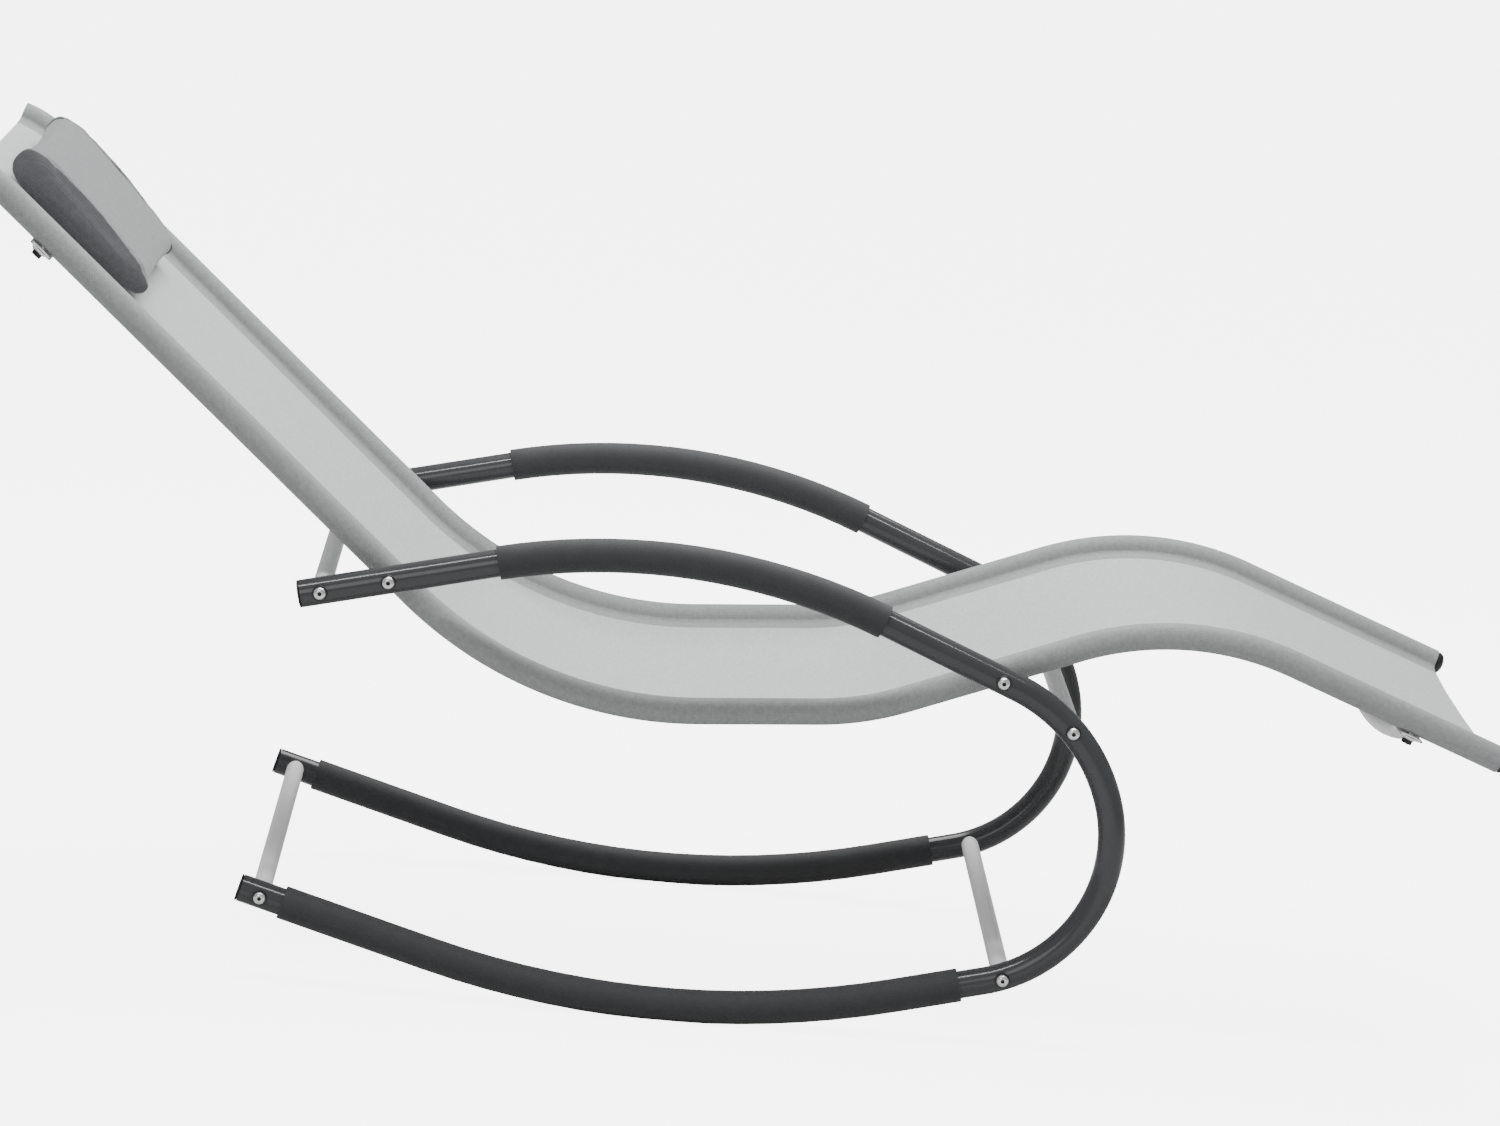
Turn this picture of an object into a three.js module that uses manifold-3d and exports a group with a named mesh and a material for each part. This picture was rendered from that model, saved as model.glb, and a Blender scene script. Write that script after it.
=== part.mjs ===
// Rocking chaise lounge: a textile sling on two bent rails, bolted between two open side frames
// whose lower runs are the rockers. Millimetres and degrees. +X runs to the feet, +Y to the
// sitter's left, +Z up. The origin is on the floor, under the middle of the object.

import * as THREE from "three";
import { mergeVertices } from "three/addons/utils/BufferGeometryUtils.js";
import Module from "manifold-3d";

const wasm = await Module();
wasm.setup();

// Fits
const touchGap = 0.3;
const screwHoleClearance = 0.3;
const cutOverrun = 10;

// Facets of the round parts
const frameSides = 12;
const railSides = 10;
const turnedSides = 12;
const screwSides = 10;
const holeSides = 8;
const hexagonSides = 6;
const facetSag = 1;
const widestFacetTurn = 10;

// Side frame, bent from one tube: armrest, shoulder, front bend, rocker
const frameTubeDiameter = 28;
const frameTubeWall = 1.2;
const railSpacing = 485;
const frameStandOff = 43.5;
const frameSpacing = railSpacing + 2 * frameStandOff;
const armrestRearLength = 199;
const armrestRadius = 640;
const armrestSweep = 35.6;
const shoulderLength = 149;
const frontUpperRadius = 178;
const frontUpperSweep = 50.9;
const frontLowerRadius = 152.5;
const frontLowerSweep = 93;
const rockerFrontLength = 91.6;
const rockerRadius = 927;
const rockerSweep = 29.6;
const rockerFacetsEachSide = 4;
const rockerRearLength = 201;

// Flat plugs in the open ends of the side frames and in the head ends of the rails
const plugFlange = 2.2;
const plugBarrel = 11;
const plugEdgeRadius = 1.2;

// Foam sleeves, placed along the frame tube from its armrest end and from its rocker end
const foamThickness = 3;
const foamPressedShare = 0.73;
const armrestFoamStart = 200;
const armrestFoamLength = 397;
const rockerFoamStart = 44;
const rockerFoamLength = 702;

// Crossbars between the side frames
const crossbarDiameter = 19;
const crossbarWall = 1.2;
const crossbarBushLength = 22;
const armrestBarFromEnd = 20;
const kneeBarFromArmrestEnd = 818;
const frontBaseBarFromRockerEnd = 790;
const rearBaseBarFromRockerEnd = 21;

// Button-head screws with hexagon sockets, and their saddle washers
const screwDiameter = 6;
const screwHeadDiameter = 12.6;
const screwHeadHeight = 3.6;
const screwHeadRim = 1;
const socketAcrossFlats = 4;
const socketDepth = 2.2;
const screwReachIntoBush = 18;
const washerDiameter = 15.4;
const washerRise = 1.4;

// Seat rail, one bent tube a side: head curl, back, seat, thigh, knee, leg
const railTubeDiameter = 25;
const railTubeWall = 1;
const backFromArmrest = 54.4;
const headCurlRadius = 107;
const headCurlSweep = 22.5;
const backLength = 568.5;
const seatRearRadius = 407.7;
const seatRearSweep = 45.16;
const seatLength = 120.8;
const thighRadius = 300.9;
const thighSweep = 16.93;
const thighLength = 181.6;
const kneeRadius = 309.5;
const kneeSweep = 41.79;
const legLength = 233;

// Domed plugs in the foot ends of the rails
const domeHeight = 10.5;
const domeShoulder = 3;
const domeCrownShares = [
  [1, 0],
  [0.9, 0.5],
  [0.6, 0.86],
];

// Bolts that carry the rails in the side frames
const rearBoltOnFrame = 89;
const rearBoltOnRail = 579.7;
const railInsertDiameter = 11;
const railInsertDepth = 15;
const railBoltReach = 12;
const spacerDiameter = 16;

// Sling: a textile sheet with a sleeve round each rail and a doubled hem beside it
const slingThickness = 1.1;
const sleeveClearance = 0.2;
const hemWidth = 24;
const hemDrop = 5;
const backSag = 3;
const seatSag = 9;
const sagShoulder = 85;

// Spreader bars under the sling, bowed away from the sitter, with flattened ends
const spreaderDiameter = 19;
const spreaderWall = 1.5;
const spreaderBow = 26;
const spreaderFlatThickness = 3.8;
const spreaderFlatWidth = 27;
const spreaderFlatLength = 30;
const spreaderFlatRoundness = 5;
const spreaderTransition = 32;
const spreaderOverhang = 11;
const spreaderStationShares = [1, 0.7, 0.35, 0];
const headSpreaderFromHeadEnd = 106.3;
const footSpreaderFromFootEnd = 95;

// Flange bolts that hold the spreader ends under the rails
const flangeBoltFlange = 16;
const flangeBoltFlangeHeight = 1.8;
const flangeBoltAcrossFlats = 10;
const flangeBoltHeadHeight = 6.5;
const flangeBoltReach = 11;

// Head pillow: a wedge, thick at the head, held by hook-and-loop tapes
const pillowLength = 184;
const pillowWidth = 330;
const pillowOverhang = 16;
const pillowHeadThickness = 49;
const pillowFootThickness = 28;
const pillowTaperPower = 1.6;
const pillowCrown = 5;
const pillowDrawIn = 4;
const pillowEndPuff = 20;
const pillowRoundness = 3.4;
const pillowSidePoints = 22;
// From each end to the middle: share of the half width, share of the end's puff, size
const pillowStationShares = [
  [1, 0.87, 0.5],
  [1, 0.56, 0.82],
  [1, 0.2, 0.96],
  [1, 0, 1],
  [0.82, 0, 1],
  [0.55, 0, 1],
  [0.28, 0, 1],
];
const tapeWidth = 25;
const tapeThickness = 1;
const tapeSpacing = 150;
const loopTapeLength = 120;
const hookTapeLength = 150;

// Finishes
const frameGrey = 0x4a4b4d;
const plugBlack = 0x1d1d1e;
const foamGrey = 0x38393a;
const barSilver = 0xc4c5c6;
const zincSilver = 0xd8d9da;
const boltDark = 0x3c3d3f;
const slingGrey = 0xbfc1c2;
const pillowGrey = 0x9a9c9d;
const tapeGrey = 0x808284;

// Derived sizes
const frameRadius = frameTubeDiameter / 2;
const frameHalf = frameSpacing / 2;
const railRadius = railTubeDiameter / 2;
const railHalf = railSpacing / 2;
const sleeveInner = railRadius + sleeveClearance;
const sleeveOuter = sleeveInner + slingThickness;
const screwHole = screwDiameter / 2 + screwHoleClearance;
const foamInner = frameRadius + touchGap;
const foamOuter = foamInner + foamThickness;
const sides = [
  ["right", -1],
  ["left", 1],
];

// Solids and booleans

function solidOf(geometry) {
  const bare = geometry.clone();
  bare.deleteAttribute("normal");
  bare.deleteAttribute("uv");
  const merged = mergeVertices(bare);
  return new wasm.Manifold(
    new wasm.Mesh({
      numProp: 3,
      vertProperties: new Float32Array(merged.attributes.position.array),
      triVerts: new Uint32Array(merged.index.array),
    }),
  );
}

function geometryOf(solid) {
  const mesh = solid.getMesh();
  const geometry = new THREE.BufferGeometry();
  geometry.setAttribute("position", new THREE.BufferAttribute(mesh.vertProperties, mesh.numProp));
  geometry.setIndex(new THREE.BufferAttribute(mesh.triVerts, 1));
  geometry.computeVertexNormals();
  return geometry;
}

function cut(solid, ...tools) {
  return tools.reduce((left, tool) => left.subtract(tool), solid);
}

function join(solid, ...others) {
  return others.reduce((sum, other) => sum.add(other), solid);
}

// Bent lines: the centre line of a tube in the XZ plane, as straight facets

function facetsOf(run) {
  const sagTurn = 2 * THREE.MathUtils.radToDeg(Math.acos(1 - facetSag / run.radius));
  return Math.max(1, Math.round(Math.abs(run.sweep) / Math.min(sagTurn, widestFacetTurn)));
}

class BentLine {
  constructor(points, runEnds = []) {
    this.points = points;
    this.runEnds = runEnds;
    this.distances = [0];
    for (let i = 1; i < points.length; i++) {
      this.distances.push(this.distances[i - 1] + points[i].distanceTo(points[i - 1]));
    }
    this.length = this.distances.at(-1);
  }

  // A run is straight, with a length, or bent, with a radius and a sweep, anticlockwise positive
  static fromRuns(slope, runs) {
    const points = [new THREE.Vector2(0, 0)];
    const runEnds = [];
    let heading = slope;
    let distance = 0;
    for (const run of runs) {
      const facets = run.radius ? (run.facets ?? facetsOf(run)) : 1;
      const turn = run.radius ? run.sweep / facets : 0;
      const halfTurn = THREE.MathUtils.degToRad(Math.abs(turn) / 2);
      const chord = run.radius ? 2 * run.radius * Math.sin(halfTurn) : run.length;
      for (let i = 0; i < facets; i++) {
        heading += turn / 2;
        points.push(points.at(-1).clone().add(direction(heading).multiplyScalar(chord)));
        heading += turn / 2;
      }
      distance += facets * chord;
      runEnds.push(distance);
    }
    return new BentLine(points, runEnds);
  }

  facetAt(distance) {
    const last = this.points.length - 2;
    let i = 0;
    while (i < last && this.distances[i + 1] < distance) i++;
    return i;
  }

  headingOf(facet) {
    const step = this.points[facet + 1].clone().sub(this.points[facet]);
    return THREE.MathUtils.radToDeg(Math.atan2(step.y, step.x));
  }

  headingAt(distance) {
    return this.headingOf(this.facetAt(distance));
  }

  pointAt(distance) {
    const facet = this.facetAt(distance);
    const beyond = distance - this.distances[facet];
    return this.points[facet].clone().add(direction(this.headingOf(facet)).multiplyScalar(beyond));
  }

  slice(from, to) {
    const between = this.points.filter(
      (point, i) => this.distances[i] > from + touchGap && this.distances[i] < to - touchGap,
    );
    return new BentLine([this.pointAt(from), ...between, this.pointAt(to)]);
  }

  shiftedTo(distance, target) {
    const shift = target.clone().sub(this.pointAt(distance));
    return new BentLine(
      this.points.map((point) => point.clone().add(shift)),
      this.runEnds,
    );
  }

  startedEarlier(by) {
    return new BentLine([this.pointAt(-by), ...this.points.slice(1)]);
  }

  // Where this line crosses another, beyond a distance along each
  crossing(other, beyond, otherBeyond) {
    for (let i = this.facetAt(beyond); i < this.points.length - 1; i++) {
      const start = this.points[i];
      const step = this.points[i + 1].clone().sub(start);
      for (let j = other.facetAt(otherBeyond); j < other.points.length - 1; j++) {
        const otherStart = other.points[j];
        const otherStep = other.points[j + 1].clone().sub(otherStart);
        const gap = otherStart.clone().sub(start);
        const spread = step.cross(otherStep);
        const along = gap.cross(otherStep) / spread;
        const otherAlong = gap.cross(step) / spread;
        if (along >= 0 && along <= 1 && otherAlong >= 0 && otherAlong <= 1) {
          return [
            this.distances[i] + along * step.length(),
            other.distances[j] + otherAlong * otherStep.length(),
          ];
        }
      }
    }
    throw new Error("the rails don't cross the side frames");
  }
}

function direction(heading) {
  const angle = THREE.MathUtils.degToRad(heading);
  return new THREE.Vector2(Math.cos(angle), Math.sin(angle));
}

// Sections: x is across, along world Y, and y is the line's left-hand side

function roundSection(radius, count, across) {
  const corner = radius / Math.cos(Math.PI / count);
  return Array.from({ length: count }, (_, i) => {
    const angle = ((i + 0.5) * 2 * Math.PI) / count;
    return new THREE.Vector2(across + corner * Math.cos(angle), corner * Math.sin(angle));
  });
}

function counterClockwise(points) {
  return THREE.ShapeUtils.isClockWise(points) ? points.slice().reverse() : points;
}

function capFaces(outline, bores) {
  const flat = [outline, ...bores].flat();
  return THREE.ShapeUtils.triangulateShape(outline, bores).map(([a, b, c]) =>
    THREE.ShapeUtils.isClockWise([flat[a], flat[b], flat[c]]) ? [a, c, b] : [a, b, c],
  );
}

// A closed solid swept along a bent line, with its facets mitred. sectionAt(distance) gives
// an outline and its bores, with the same number of points at every distance. Each facet is
// split from its corner nearest the middle, so the two faces of a thin sheet are split alike.
function sweep(line, sectionAt) {
  const positions = [];
  const faces = [];
  const last = line.points.length - 1;
  let loops;
  line.points.forEach((point, i) => {
    const before = line.headingOf(Math.max(i - 1, 0));
    const after = line.headingOf(Math.min(i, last - 1));
    const turn = THREE.MathUtils.euclideanModulo(after - before + 180, 360) - 180;
    const left = direction(before + turn / 2 + 90);
    const stretch = 1 / Math.cos(THREE.MathUtils.degToRad(turn / 2));
    const { outline, bores = [] } = sectionAt(line.distances[i]);
    loops = [
      counterClockwise(outline),
      ...bores.map((bore) => counterClockwise(bore).slice().reverse()),
    ];
    for (const { x, y } of loops.flat()) {
      positions.push(point.x + left.x * y * stretch, x, point.y + left.y * y * stretch);
    }
  });
  const perSection = loops.flat().length;
  for (let i = 0; i < last; i++) {
    let first = i * perSection;
    for (const loop of loops) {
      loop.forEach((corner, j) => {
        const next = (j + 1) % loop.length;
        const [a, b] = [first + j, first + next];
        const [farA, farB] = [a + perSection, b + perSection];
        if (Math.abs(corner.x) < Math.abs(loop[next].x)) faces.push(a, b, farB, a, farB, farA);
        else faces.push(a, b, farA, b, farB, farA);
      });
      first += loop.length;
    }
  }
  const end = last * perSection;
  for (const [a, b, c] of capFaces(loops[0], loops.slice(1))) {
    faces.push(a, c, b, end + a, end + b, end + c);
  }
  const geometry = new THREE.BufferGeometry();
  geometry.setAttribute("position", new THREE.Float32BufferAttribute(positions, 3));
  geometry.setIndex(faces);
  geometry.computeVertexNormals();
  return geometry;
}

function tubeAlong(line, outer, inner, count, across) {
  const outline = roundSection(outer, count, across);
  const bores = [roundSection(inner, count, across)];
  return sweep(line, () => ({ outline, bores }));
}

function rodAlong(line, radius, count, across) {
  const outline = roundSection(radius, count, across);
  return sweep(line, () => ({ outline }));
}

// Turned pieces, on the Y axis

function turned(profile, count = turnedSides) {
  const points = profile.map(([radius, height]) => new THREE.Vector2(radius, height));
  return new THREE.LatheGeometry(points, count);
}

function hexagonRadius(acrossFlats) {
  return acrossFlats / 2 / Math.cos(Math.PI / hexagonSides);
}

function rodAcross(radius, from, to, x, z, count = holeSides) {
  const rod = turned(
    [
      [0, from],
      [radius, from],
      [radius, to],
      [0, to],
    ],
    count,
  );
  return rod.translate(x, 0, z);
}

// The two centre lines. The frame is turned so that the rocker's middle facet lies level.

const turnToLevel = armrestSweep + frontUpperSweep + frontLowerSweep + rockerSweep / 2;
const armrestSlope = turnToLevel - 180;
const frameLine = BentLine.fromRuns(armrestSlope, [
  { length: armrestRearLength },
  { radius: armrestRadius, sweep: -armrestSweep },
  { length: shoulderLength },
  { radius: frontUpperRadius, sweep: -frontUpperSweep },
  { radius: frontLowerRadius, sweep: -frontLowerSweep },
  { length: rockerFrontLength },
  { radius: rockerRadius, sweep: -rockerSweep, facets: 2 * rockerFacetsEachSide + 1 },
  { length: rockerRearLength },
]);
const railLine = BentLine.fromRuns(armrestSlope - backFromArmrest + headCurlSweep, [
  { radius: headCurlRadius, sweep: -headCurlSweep },
  { length: backLength },
  { radius: seatRearRadius, sweep: seatRearSweep },
  { length: seatLength },
  { radius: thighRadius, sweep: thighSweep },
  { length: thighLength },
  { radius: kneeRadius, sweep: -kneeSweep },
  { length: legLength },
]).shiftedTo(rearBoltOnRail, frameLine.pointAt(rearBoltOnFrame));
const [frontBoltOnRail, frontBoltOnFrame] = railLine.crossing(
  frameLine,
  rearBoltOnRail + seatRearRadius,
  rearBoltOnFrame + armrestRearLength,
);

const [curlEnd, backEnd, , , , , kneeEnd] = railLine.runEnds;

// Where the fasteners go through the frames and the rails
const crossbarPlaces = {
  armrest_crossbar: armrestBarFromEnd,
  knee_crossbar: kneeBarFromArmrestEnd,
  front_base_crossbar: frameLine.length - frontBaseBarFromRockerEnd,
  rear_base_crossbar: frameLine.length - rearBaseBarFromRockerEnd,
};
const railBoltPlaces = {
  rear: [rearBoltOnFrame, rearBoltOnRail],
  front: [frontBoltOnFrame, frontBoltOnRail],
};
const spreaderPlaces = {
  head_spreader: headSpreaderFromHeadEnd,
  foot_spreader: railLine.length - footSpreaderFromFootEnd,
};

// Group, materials and nodes

const lounge = new THREE.Group();

function finish(color, roughness, metalness) {
  return new THREE.MeshStandardMaterial({ color, roughness, metalness });
}

function add(parent, name, geometry, material) {
  const mesh = new THREE.Mesh(geometry, material);
  mesh.name = name;
  parent.add(mesh);
  return mesh;
}

// A group on a rail's centre plane: its x runs down the rail, y across and z away from the rail
function groupOnRail(distance) {
  const group = new THREE.Group();
  const point = railLine.pointAt(distance);
  group.position.set(point.x, 0, point.y);
  group.rotation.y = THREE.MathUtils.degToRad(-railLine.headingAt(distance));
  group.updateMatrix();
  lounge.add(group);
  return group;
}

const spreaderGroups = Object.fromEntries(
  Object.entries(spreaderPlaces).map(([name, distance]) => [name, groupOnRail(distance)]),
);

// Holes for the bolts into a rail, from its centre line outwards: one across, one from below
function railBoltHole(onRail, side) {
  const { x, y } = railLine.pointAt(onRail);
  const outer = railHalf + railTubeDiameter;
  return rodAcross(screwHole, ...(side > 0 ? [railHalf, outer] : [-outer, -railHalf]), x, y);
}

function spreaderBoltHole(group, side) {
  const hole = rodAcross(screwHole, -railTubeDiameter, 0, 0, 0);
  hole.rotateX(Math.PI / 2).translate(0, side * railHalf, 0);
  return hole.applyMatrix4(group.matrix);
}

function holesIntoRail(side) {
  return [
    ...Object.values(railBoltPlaces).map(([, onRail]) => railBoltHole(onRail, side)),
    ...Object.values(spreaderGroups).map((group) => spreaderBoltHole(group, side)),
  ].map(solidOf);
}

// Side frames with their screw holes, plugs and foam sleeves

function frameTube(side) {
  const across = side * frameHalf;
  const tube = tubeAlong(frameLine, frameRadius, frameRadius - frameTubeWall, frameSides, across);
  const screwDistances = [
    ...Object.values(crossbarPlaces),
    ...Object.values(railBoltPlaces).map(([onFrame]) => onFrame),
  ];
  const holes = screwDistances.map((distance) => {
    const { x, y } = frameLine.pointAt(distance);
    const reach = frameRadius + cutOverrun;
    return solidOf(rodAcross(screwHole, across - reach, across + reach, x, y));
  });
  return geometryOf(cut(solidOf(tube), ...holes));
}

// A plug's own frame has the tube's end at y = 0, and its axis points out of the tube
function plug(radius, wall, crown) {
  const barrel = radius - wall - touchGap;
  return turned([
    [0, -plugBarrel],
    [barrel, -plugBarrel],
    [barrel, touchGap],
    [radius, touchGap],
    ...crown,
  ]);
}

function flatCrown(radius) {
  const top = touchGap + plugFlange;
  return [
    [radius, top - plugEdgeRadius],
    [radius - plugEdgeRadius, top],
    [0, top],
  ];
}

function domedCrown(radius) {
  const rise = domeHeight - domeShoulder;
  return [
    ...domeCrownShares.map(([radiusShare, heightShare]) => [
      radius * radiusShare,
      domeShoulder + rise * heightShare,
    ]),
    [0, domeHeight],
  ];
}

// Stands a turned piece on the end of a line, its axis pointing out of the tube
function standOnEnd(mesh, line, atStart, across) {
  const facet = atStart ? 0 : line.points.length - 2;
  const outward = direction(line.headingOf(facet)).multiplyScalar(atStart ? -1 : 1);
  const end = line.points[atStart ? 0 : line.points.length - 1];
  mesh.position.set(end.x, across, end.y);
  mesh.quaternion.setFromUnitVectors(
    new THREE.Vector3(0, 1, 0),
    new THREE.Vector3(outward.x, 0, outward.y),
  );
}

function foamSleeve(from, to, side) {
  const line = frameLine.slice(from, to);
  return tubeAlong(line, foamOuter, foamInner, frameSides, side * frameHalf);
}

// The floor that the rocker foam is pressed flat on, down to below its lowest facet
function pressingFloor() {
  const lowest = Math.min(...frameLine.points.map(({ y }) => y)) - foamOuter;
  const floor = lowest + foamThickness * foamPressedShare;
  const block = new THREE.BoxGeometry(frameLine.length, 2 * frameSpacing, foamThickness);
  return solidOf(block.translate(0, 0, floor - foamThickness / 2));
}

for (const [name, side] of sides) {
  const frameFinish = finish(frameGrey, 0.42, 0.35);
  add(lounge, `side_frame_${name}`, frameTube(side), frameFinish);
  for (const [place, atStart] of [
    ["armrest", true],
    ["rocker", false],
  ]) {
    const geometry = plug(frameRadius, frameTubeWall, flatCrown(frameRadius));
    const mesh = add(lounge, `frame_plug_${place}_${name}`, geometry, finish(plugBlack, 0.5, 0));
    standOnEnd(mesh, frameLine, atStart, side * frameHalf);
  }
  const rockerFoamEnd = frameLine.length - rockerFoamStart;
  const armrestFoam = foamSleeve(armrestFoamStart, armrestFoamStart + armrestFoamLength, side);
  const rockerSleeve = foamSleeve(rockerFoamEnd - rockerFoamLength, rockerFoamEnd, side);
  const rockerFoam = geometryOf(cut(solidOf(rockerSleeve), pressingFloor()));
  add(lounge, `armrest_foam_${name}`, armrestFoam, finish(foamGrey, 0.9, 0));
  add(lounge, `rocker_foam_${name}`, rockerFoam, finish(foamGrey, 0.9, 0));
}

// Envelopes that the neighbours are cut by, so each seat follows the tube it sits on

const frameEnvelopes = sides.map(([, side]) =>
  solidOf(rodAlong(frameLine, frameRadius + touchGap, frameSides, side * frameHalf)),
);
const sleeveEnvelopes = sides.map(([, side]) =>
  solidOf(rodAlong(railLine, sleeveOuter + touchGap, railSides, side * railHalf)),
);

// Crossbars: tubes with a threaded bush in each end, coped to sit on the frame tubes

function crossbar(distance) {
  const { x, y } = frameLine.pointAt(distance);
  const outer = crossbarDiameter / 2;
  const inner = outer - crossbarWall;
  const tube = turned([
    [inner, -frameHalf],
    [outer, -frameHalf],
    [outer, frameHalf],
    [inner, frameHalf],
    [inner, -frameHalf],
  ]);
  const bushStart = frameHalf - frameRadius - crossbarBushLength;
  const bushes = sides.map(([, side]) => {
    const from = side > 0 ? bushStart : -frameHalf;
    const to = side > 0 ? frameHalf : -bushStart;
    return solidOf(rodAcross(outer - crossbarWall / 2, from, to, x, y, turnedSides));
  });
  const bores = sides.map(([, side]) => {
    const past = bushStart - cutOverrun;
    const from = side > 0 ? past : -frameHalf - cutOverrun;
    const to = side > 0 ? frameHalf + cutOverrun : -past;
    return solidOf(rodAcross(screwHole, from, to, x, y));
  });
  const bar = join(solidOf(tube.translate(x, 0, y)), ...bushes);
  return geometryOf(cut(bar, ...bores, ...frameEnvelopes));
}

for (const [name, distance] of Object.entries(crossbarPlaces)) {
  add(lounge, name, crossbar(distance), finish(barSilver, 0.35, 0.6));
}

// Screws and washers. A screw's own frame has the underside of its head at y = 0.

function buttonScrew(length) {
  const headRadius = screwHeadDiameter / 2;
  const body = turned(
    [
      [0, -length],
      [screwDiameter / 2, -length],
      [screwDiameter / 2, 0],
      [headRadius, 0],
      [headRadius, screwHeadRim],
      [(headRadius * 3) / 4, (screwHeadHeight * 3) / 4],
      [headRadius / 2, screwHeadHeight],
      [0, screwHeadHeight],
    ],
    screwSides,
  );
  const [floor, mouth] = [screwHeadHeight - socketDepth, screwHeadHeight + cutOverrun];
  const socket = rodAcross(hexagonRadius(socketAcrossFlats), floor, mouth, 0, 0, hexagonSides);
  return geometryOf(cut(solidOf(body), solidOf(socket)));
}

function saddleWasher(distance, side) {
  const { x, y } = frameLine.pointAt(distance);
  const inside = side * frameHalf;
  const outside = side * (frameHalf + frameRadius + washerRise);
  const [from, to] = [Math.min(inside, outside), Math.max(inside, outside)];
  const disc = solidOf(rodAcross(washerDiameter / 2, from, to, x, y, turnedSides));
  const bore = solidOf(rodAcross(screwHole, from - cutOverrun, to + cutOverrun, x, y));
  return geometryOf(cut(disc, bore, ...frameEnvelopes));
}

function addScrew(name, distance, side, tipAcross, sideName) {
  const { x, y } = frameLine.pointAt(distance);
  const headAcross = frameHalf + frameRadius + washerRise + touchGap;
  const material = finish(zincSilver, 0.3, 0.8);
  const geometry = buttonScrew(headAcross - tipAcross);
  const screw = add(lounge, `${name}_${sideName}`, geometry, material);
  screw.position.set(x, side * headAcross, y);
  screw.rotation.x = side > 0 ? 0 : Math.PI;
}

for (const [sideName, side] of sides) {
  for (const [name, distance] of Object.entries(crossbarPlaces)) {
    const place = name.replace("_crossbar", "");
    const tip = frameHalf - frameRadius - screwReachIntoBush;
    const washer = saddleWasher(distance, side);
    addScrew(`${place}_screw`, distance, side, tip, sideName);
    add(lounge, `${place}_washer_${sideName}`, washer, finish(plugBlack, 0.5, 0));
  }
  for (const [place, [onFrame]] of Object.entries(railBoltPlaces)) {
    const tip = railHalf + railRadius - railBoltReach;
    const washer = saddleWasher(onFrame, side);
    addScrew(`${place}_rail_bolt`, onFrame, side, tip, sideName);
    add(lounge, `${place}_rail_washer_${sideName}`, washer, finish(plugBlack, 0.5, 0));
  }
}

// Seat rails with their threaded inserts, and the plugs in their ends

function railTube(side) {
  const across = side * railHalf;
  const tube = tubeAlong(railLine, railRadius, railRadius - railTubeWall, railSides, across);
  const envelope = solidOf(rodAlong(railLine, railRadius, railSides, across));
  const insertRadius = railInsertDiameter / 2;
  const blindEnd = railInsertDepth - railRadius;
  const inserts = [];
  for (const [, onRail] of Object.values(railBoltPlaces)) {
    const { x, y } = railLine.pointAt(onRail);
    const insert = rodAcross(insertRadius, -railTubeDiameter, blindEnd, 0, 0, turnedSides);
    if (side > 0) insert.rotateX(Math.PI);
    inserts.push(insert.translate(x, across, y));
  }
  for (const group of Object.values(spreaderGroups)) {
    const insert = rodAcross(insertRadius, -railTubeDiameter, blindEnd, 0, 0, turnedSides);
    insert.rotateX(Math.PI / 2).translate(0, across, 0);
    inserts.push(insert.applyMatrix4(group.matrix));
  }
  const seated = inserts.map((insert) => solidOf(insert).intersect(envelope));
  return geometryOf(cut(join(solidOf(tube), ...seated), ...holesIntoRail(side)));
}

for (const [name, side] of sides) {
  add(lounge, `seat_rail_${name}`, railTube(side), finish(frameGrey, 0.42, 0.35));
  for (const [place, atStart, crown] of [
    ["head", true, flatCrown(railRadius)],
    ["foot", false, domedCrown(railRadius)],
  ]) {
    const geometry = plug(railRadius, railTubeWall, crown);
    const mesh = add(lounge, `rail_plug_${place}_${name}`, geometry, finish(plugBlack, 0.45, 0));
    standOnEnd(mesh, railLine, atStart, side * railHalf);
  }
}

// Spacers between the side frames and the sleeved rails

function railSpacer(onFrame, side) {
  const { x, y } = frameLine.pointAt(onFrame);
  const [from, to] = [side * railHalf, side * frameHalf].sort((a, b) => a - b);
  const body = solidOf(rodAcross(spacerDiameter / 2, from, to, x, y, turnedSides));
  const bore = solidOf(rodAcross(screwHole, from - cutOverrun, to + cutOverrun, x, y));
  return geometryOf(cut(body, bore, ...frameEnvelopes, ...sleeveEnvelopes));
}

for (const [sideName, side] of sides) {
  for (const [place, [onFrame]] of Object.entries(railBoltPlaces)) {
    const name = `${place}_rail_spacer_${sideName}`;
    add(lounge, name, railSpacer(onFrame, side), finish(plugBlack, 0.5, 0));
  }
}

// Sling. It covers the rails and their head plugs, and its panel sags most under the seat.

const headCover = touchGap + plugFlange;
const slingLine = railLine.startedEarlier(headCover);

function sagAt(distance) {
  const past = distance - headCover - backEnd;
  const share = THREE.MathUtils.clamp(past / (kneeEnd - backEnd), 0, 1);
  return backSag + (seatSag - backSag) * Math.sin(Math.PI * share) ** 2;
}

// The sleeve's outline on the left rail, from under the hem's root round the rail to its top
function sleeveOutline() {
  const corners = roundSection(sleeveOuter, railSides, railHalf);
  const rootIndex = corners.findIndex(({ x, y }) => x < railHalf && y < 0);
  const top = corners[rootIndex];
  const next = corners[rootIndex + 1];
  const bottom = top.clone().lerp(next, (2 * slingThickness) / top.distanceTo(next));
  const around = corners.map((_, i) => corners[(rootIndex + 1 + i) % railSides]);
  return [bottom, ...around];
}

function mirrored(points) {
  return points.map(({ x, y }) => new THREE.Vector2(-x, y)).reverse();
}

const hemEdge = railHalf - sleeveOuter - hemWidth;

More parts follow.
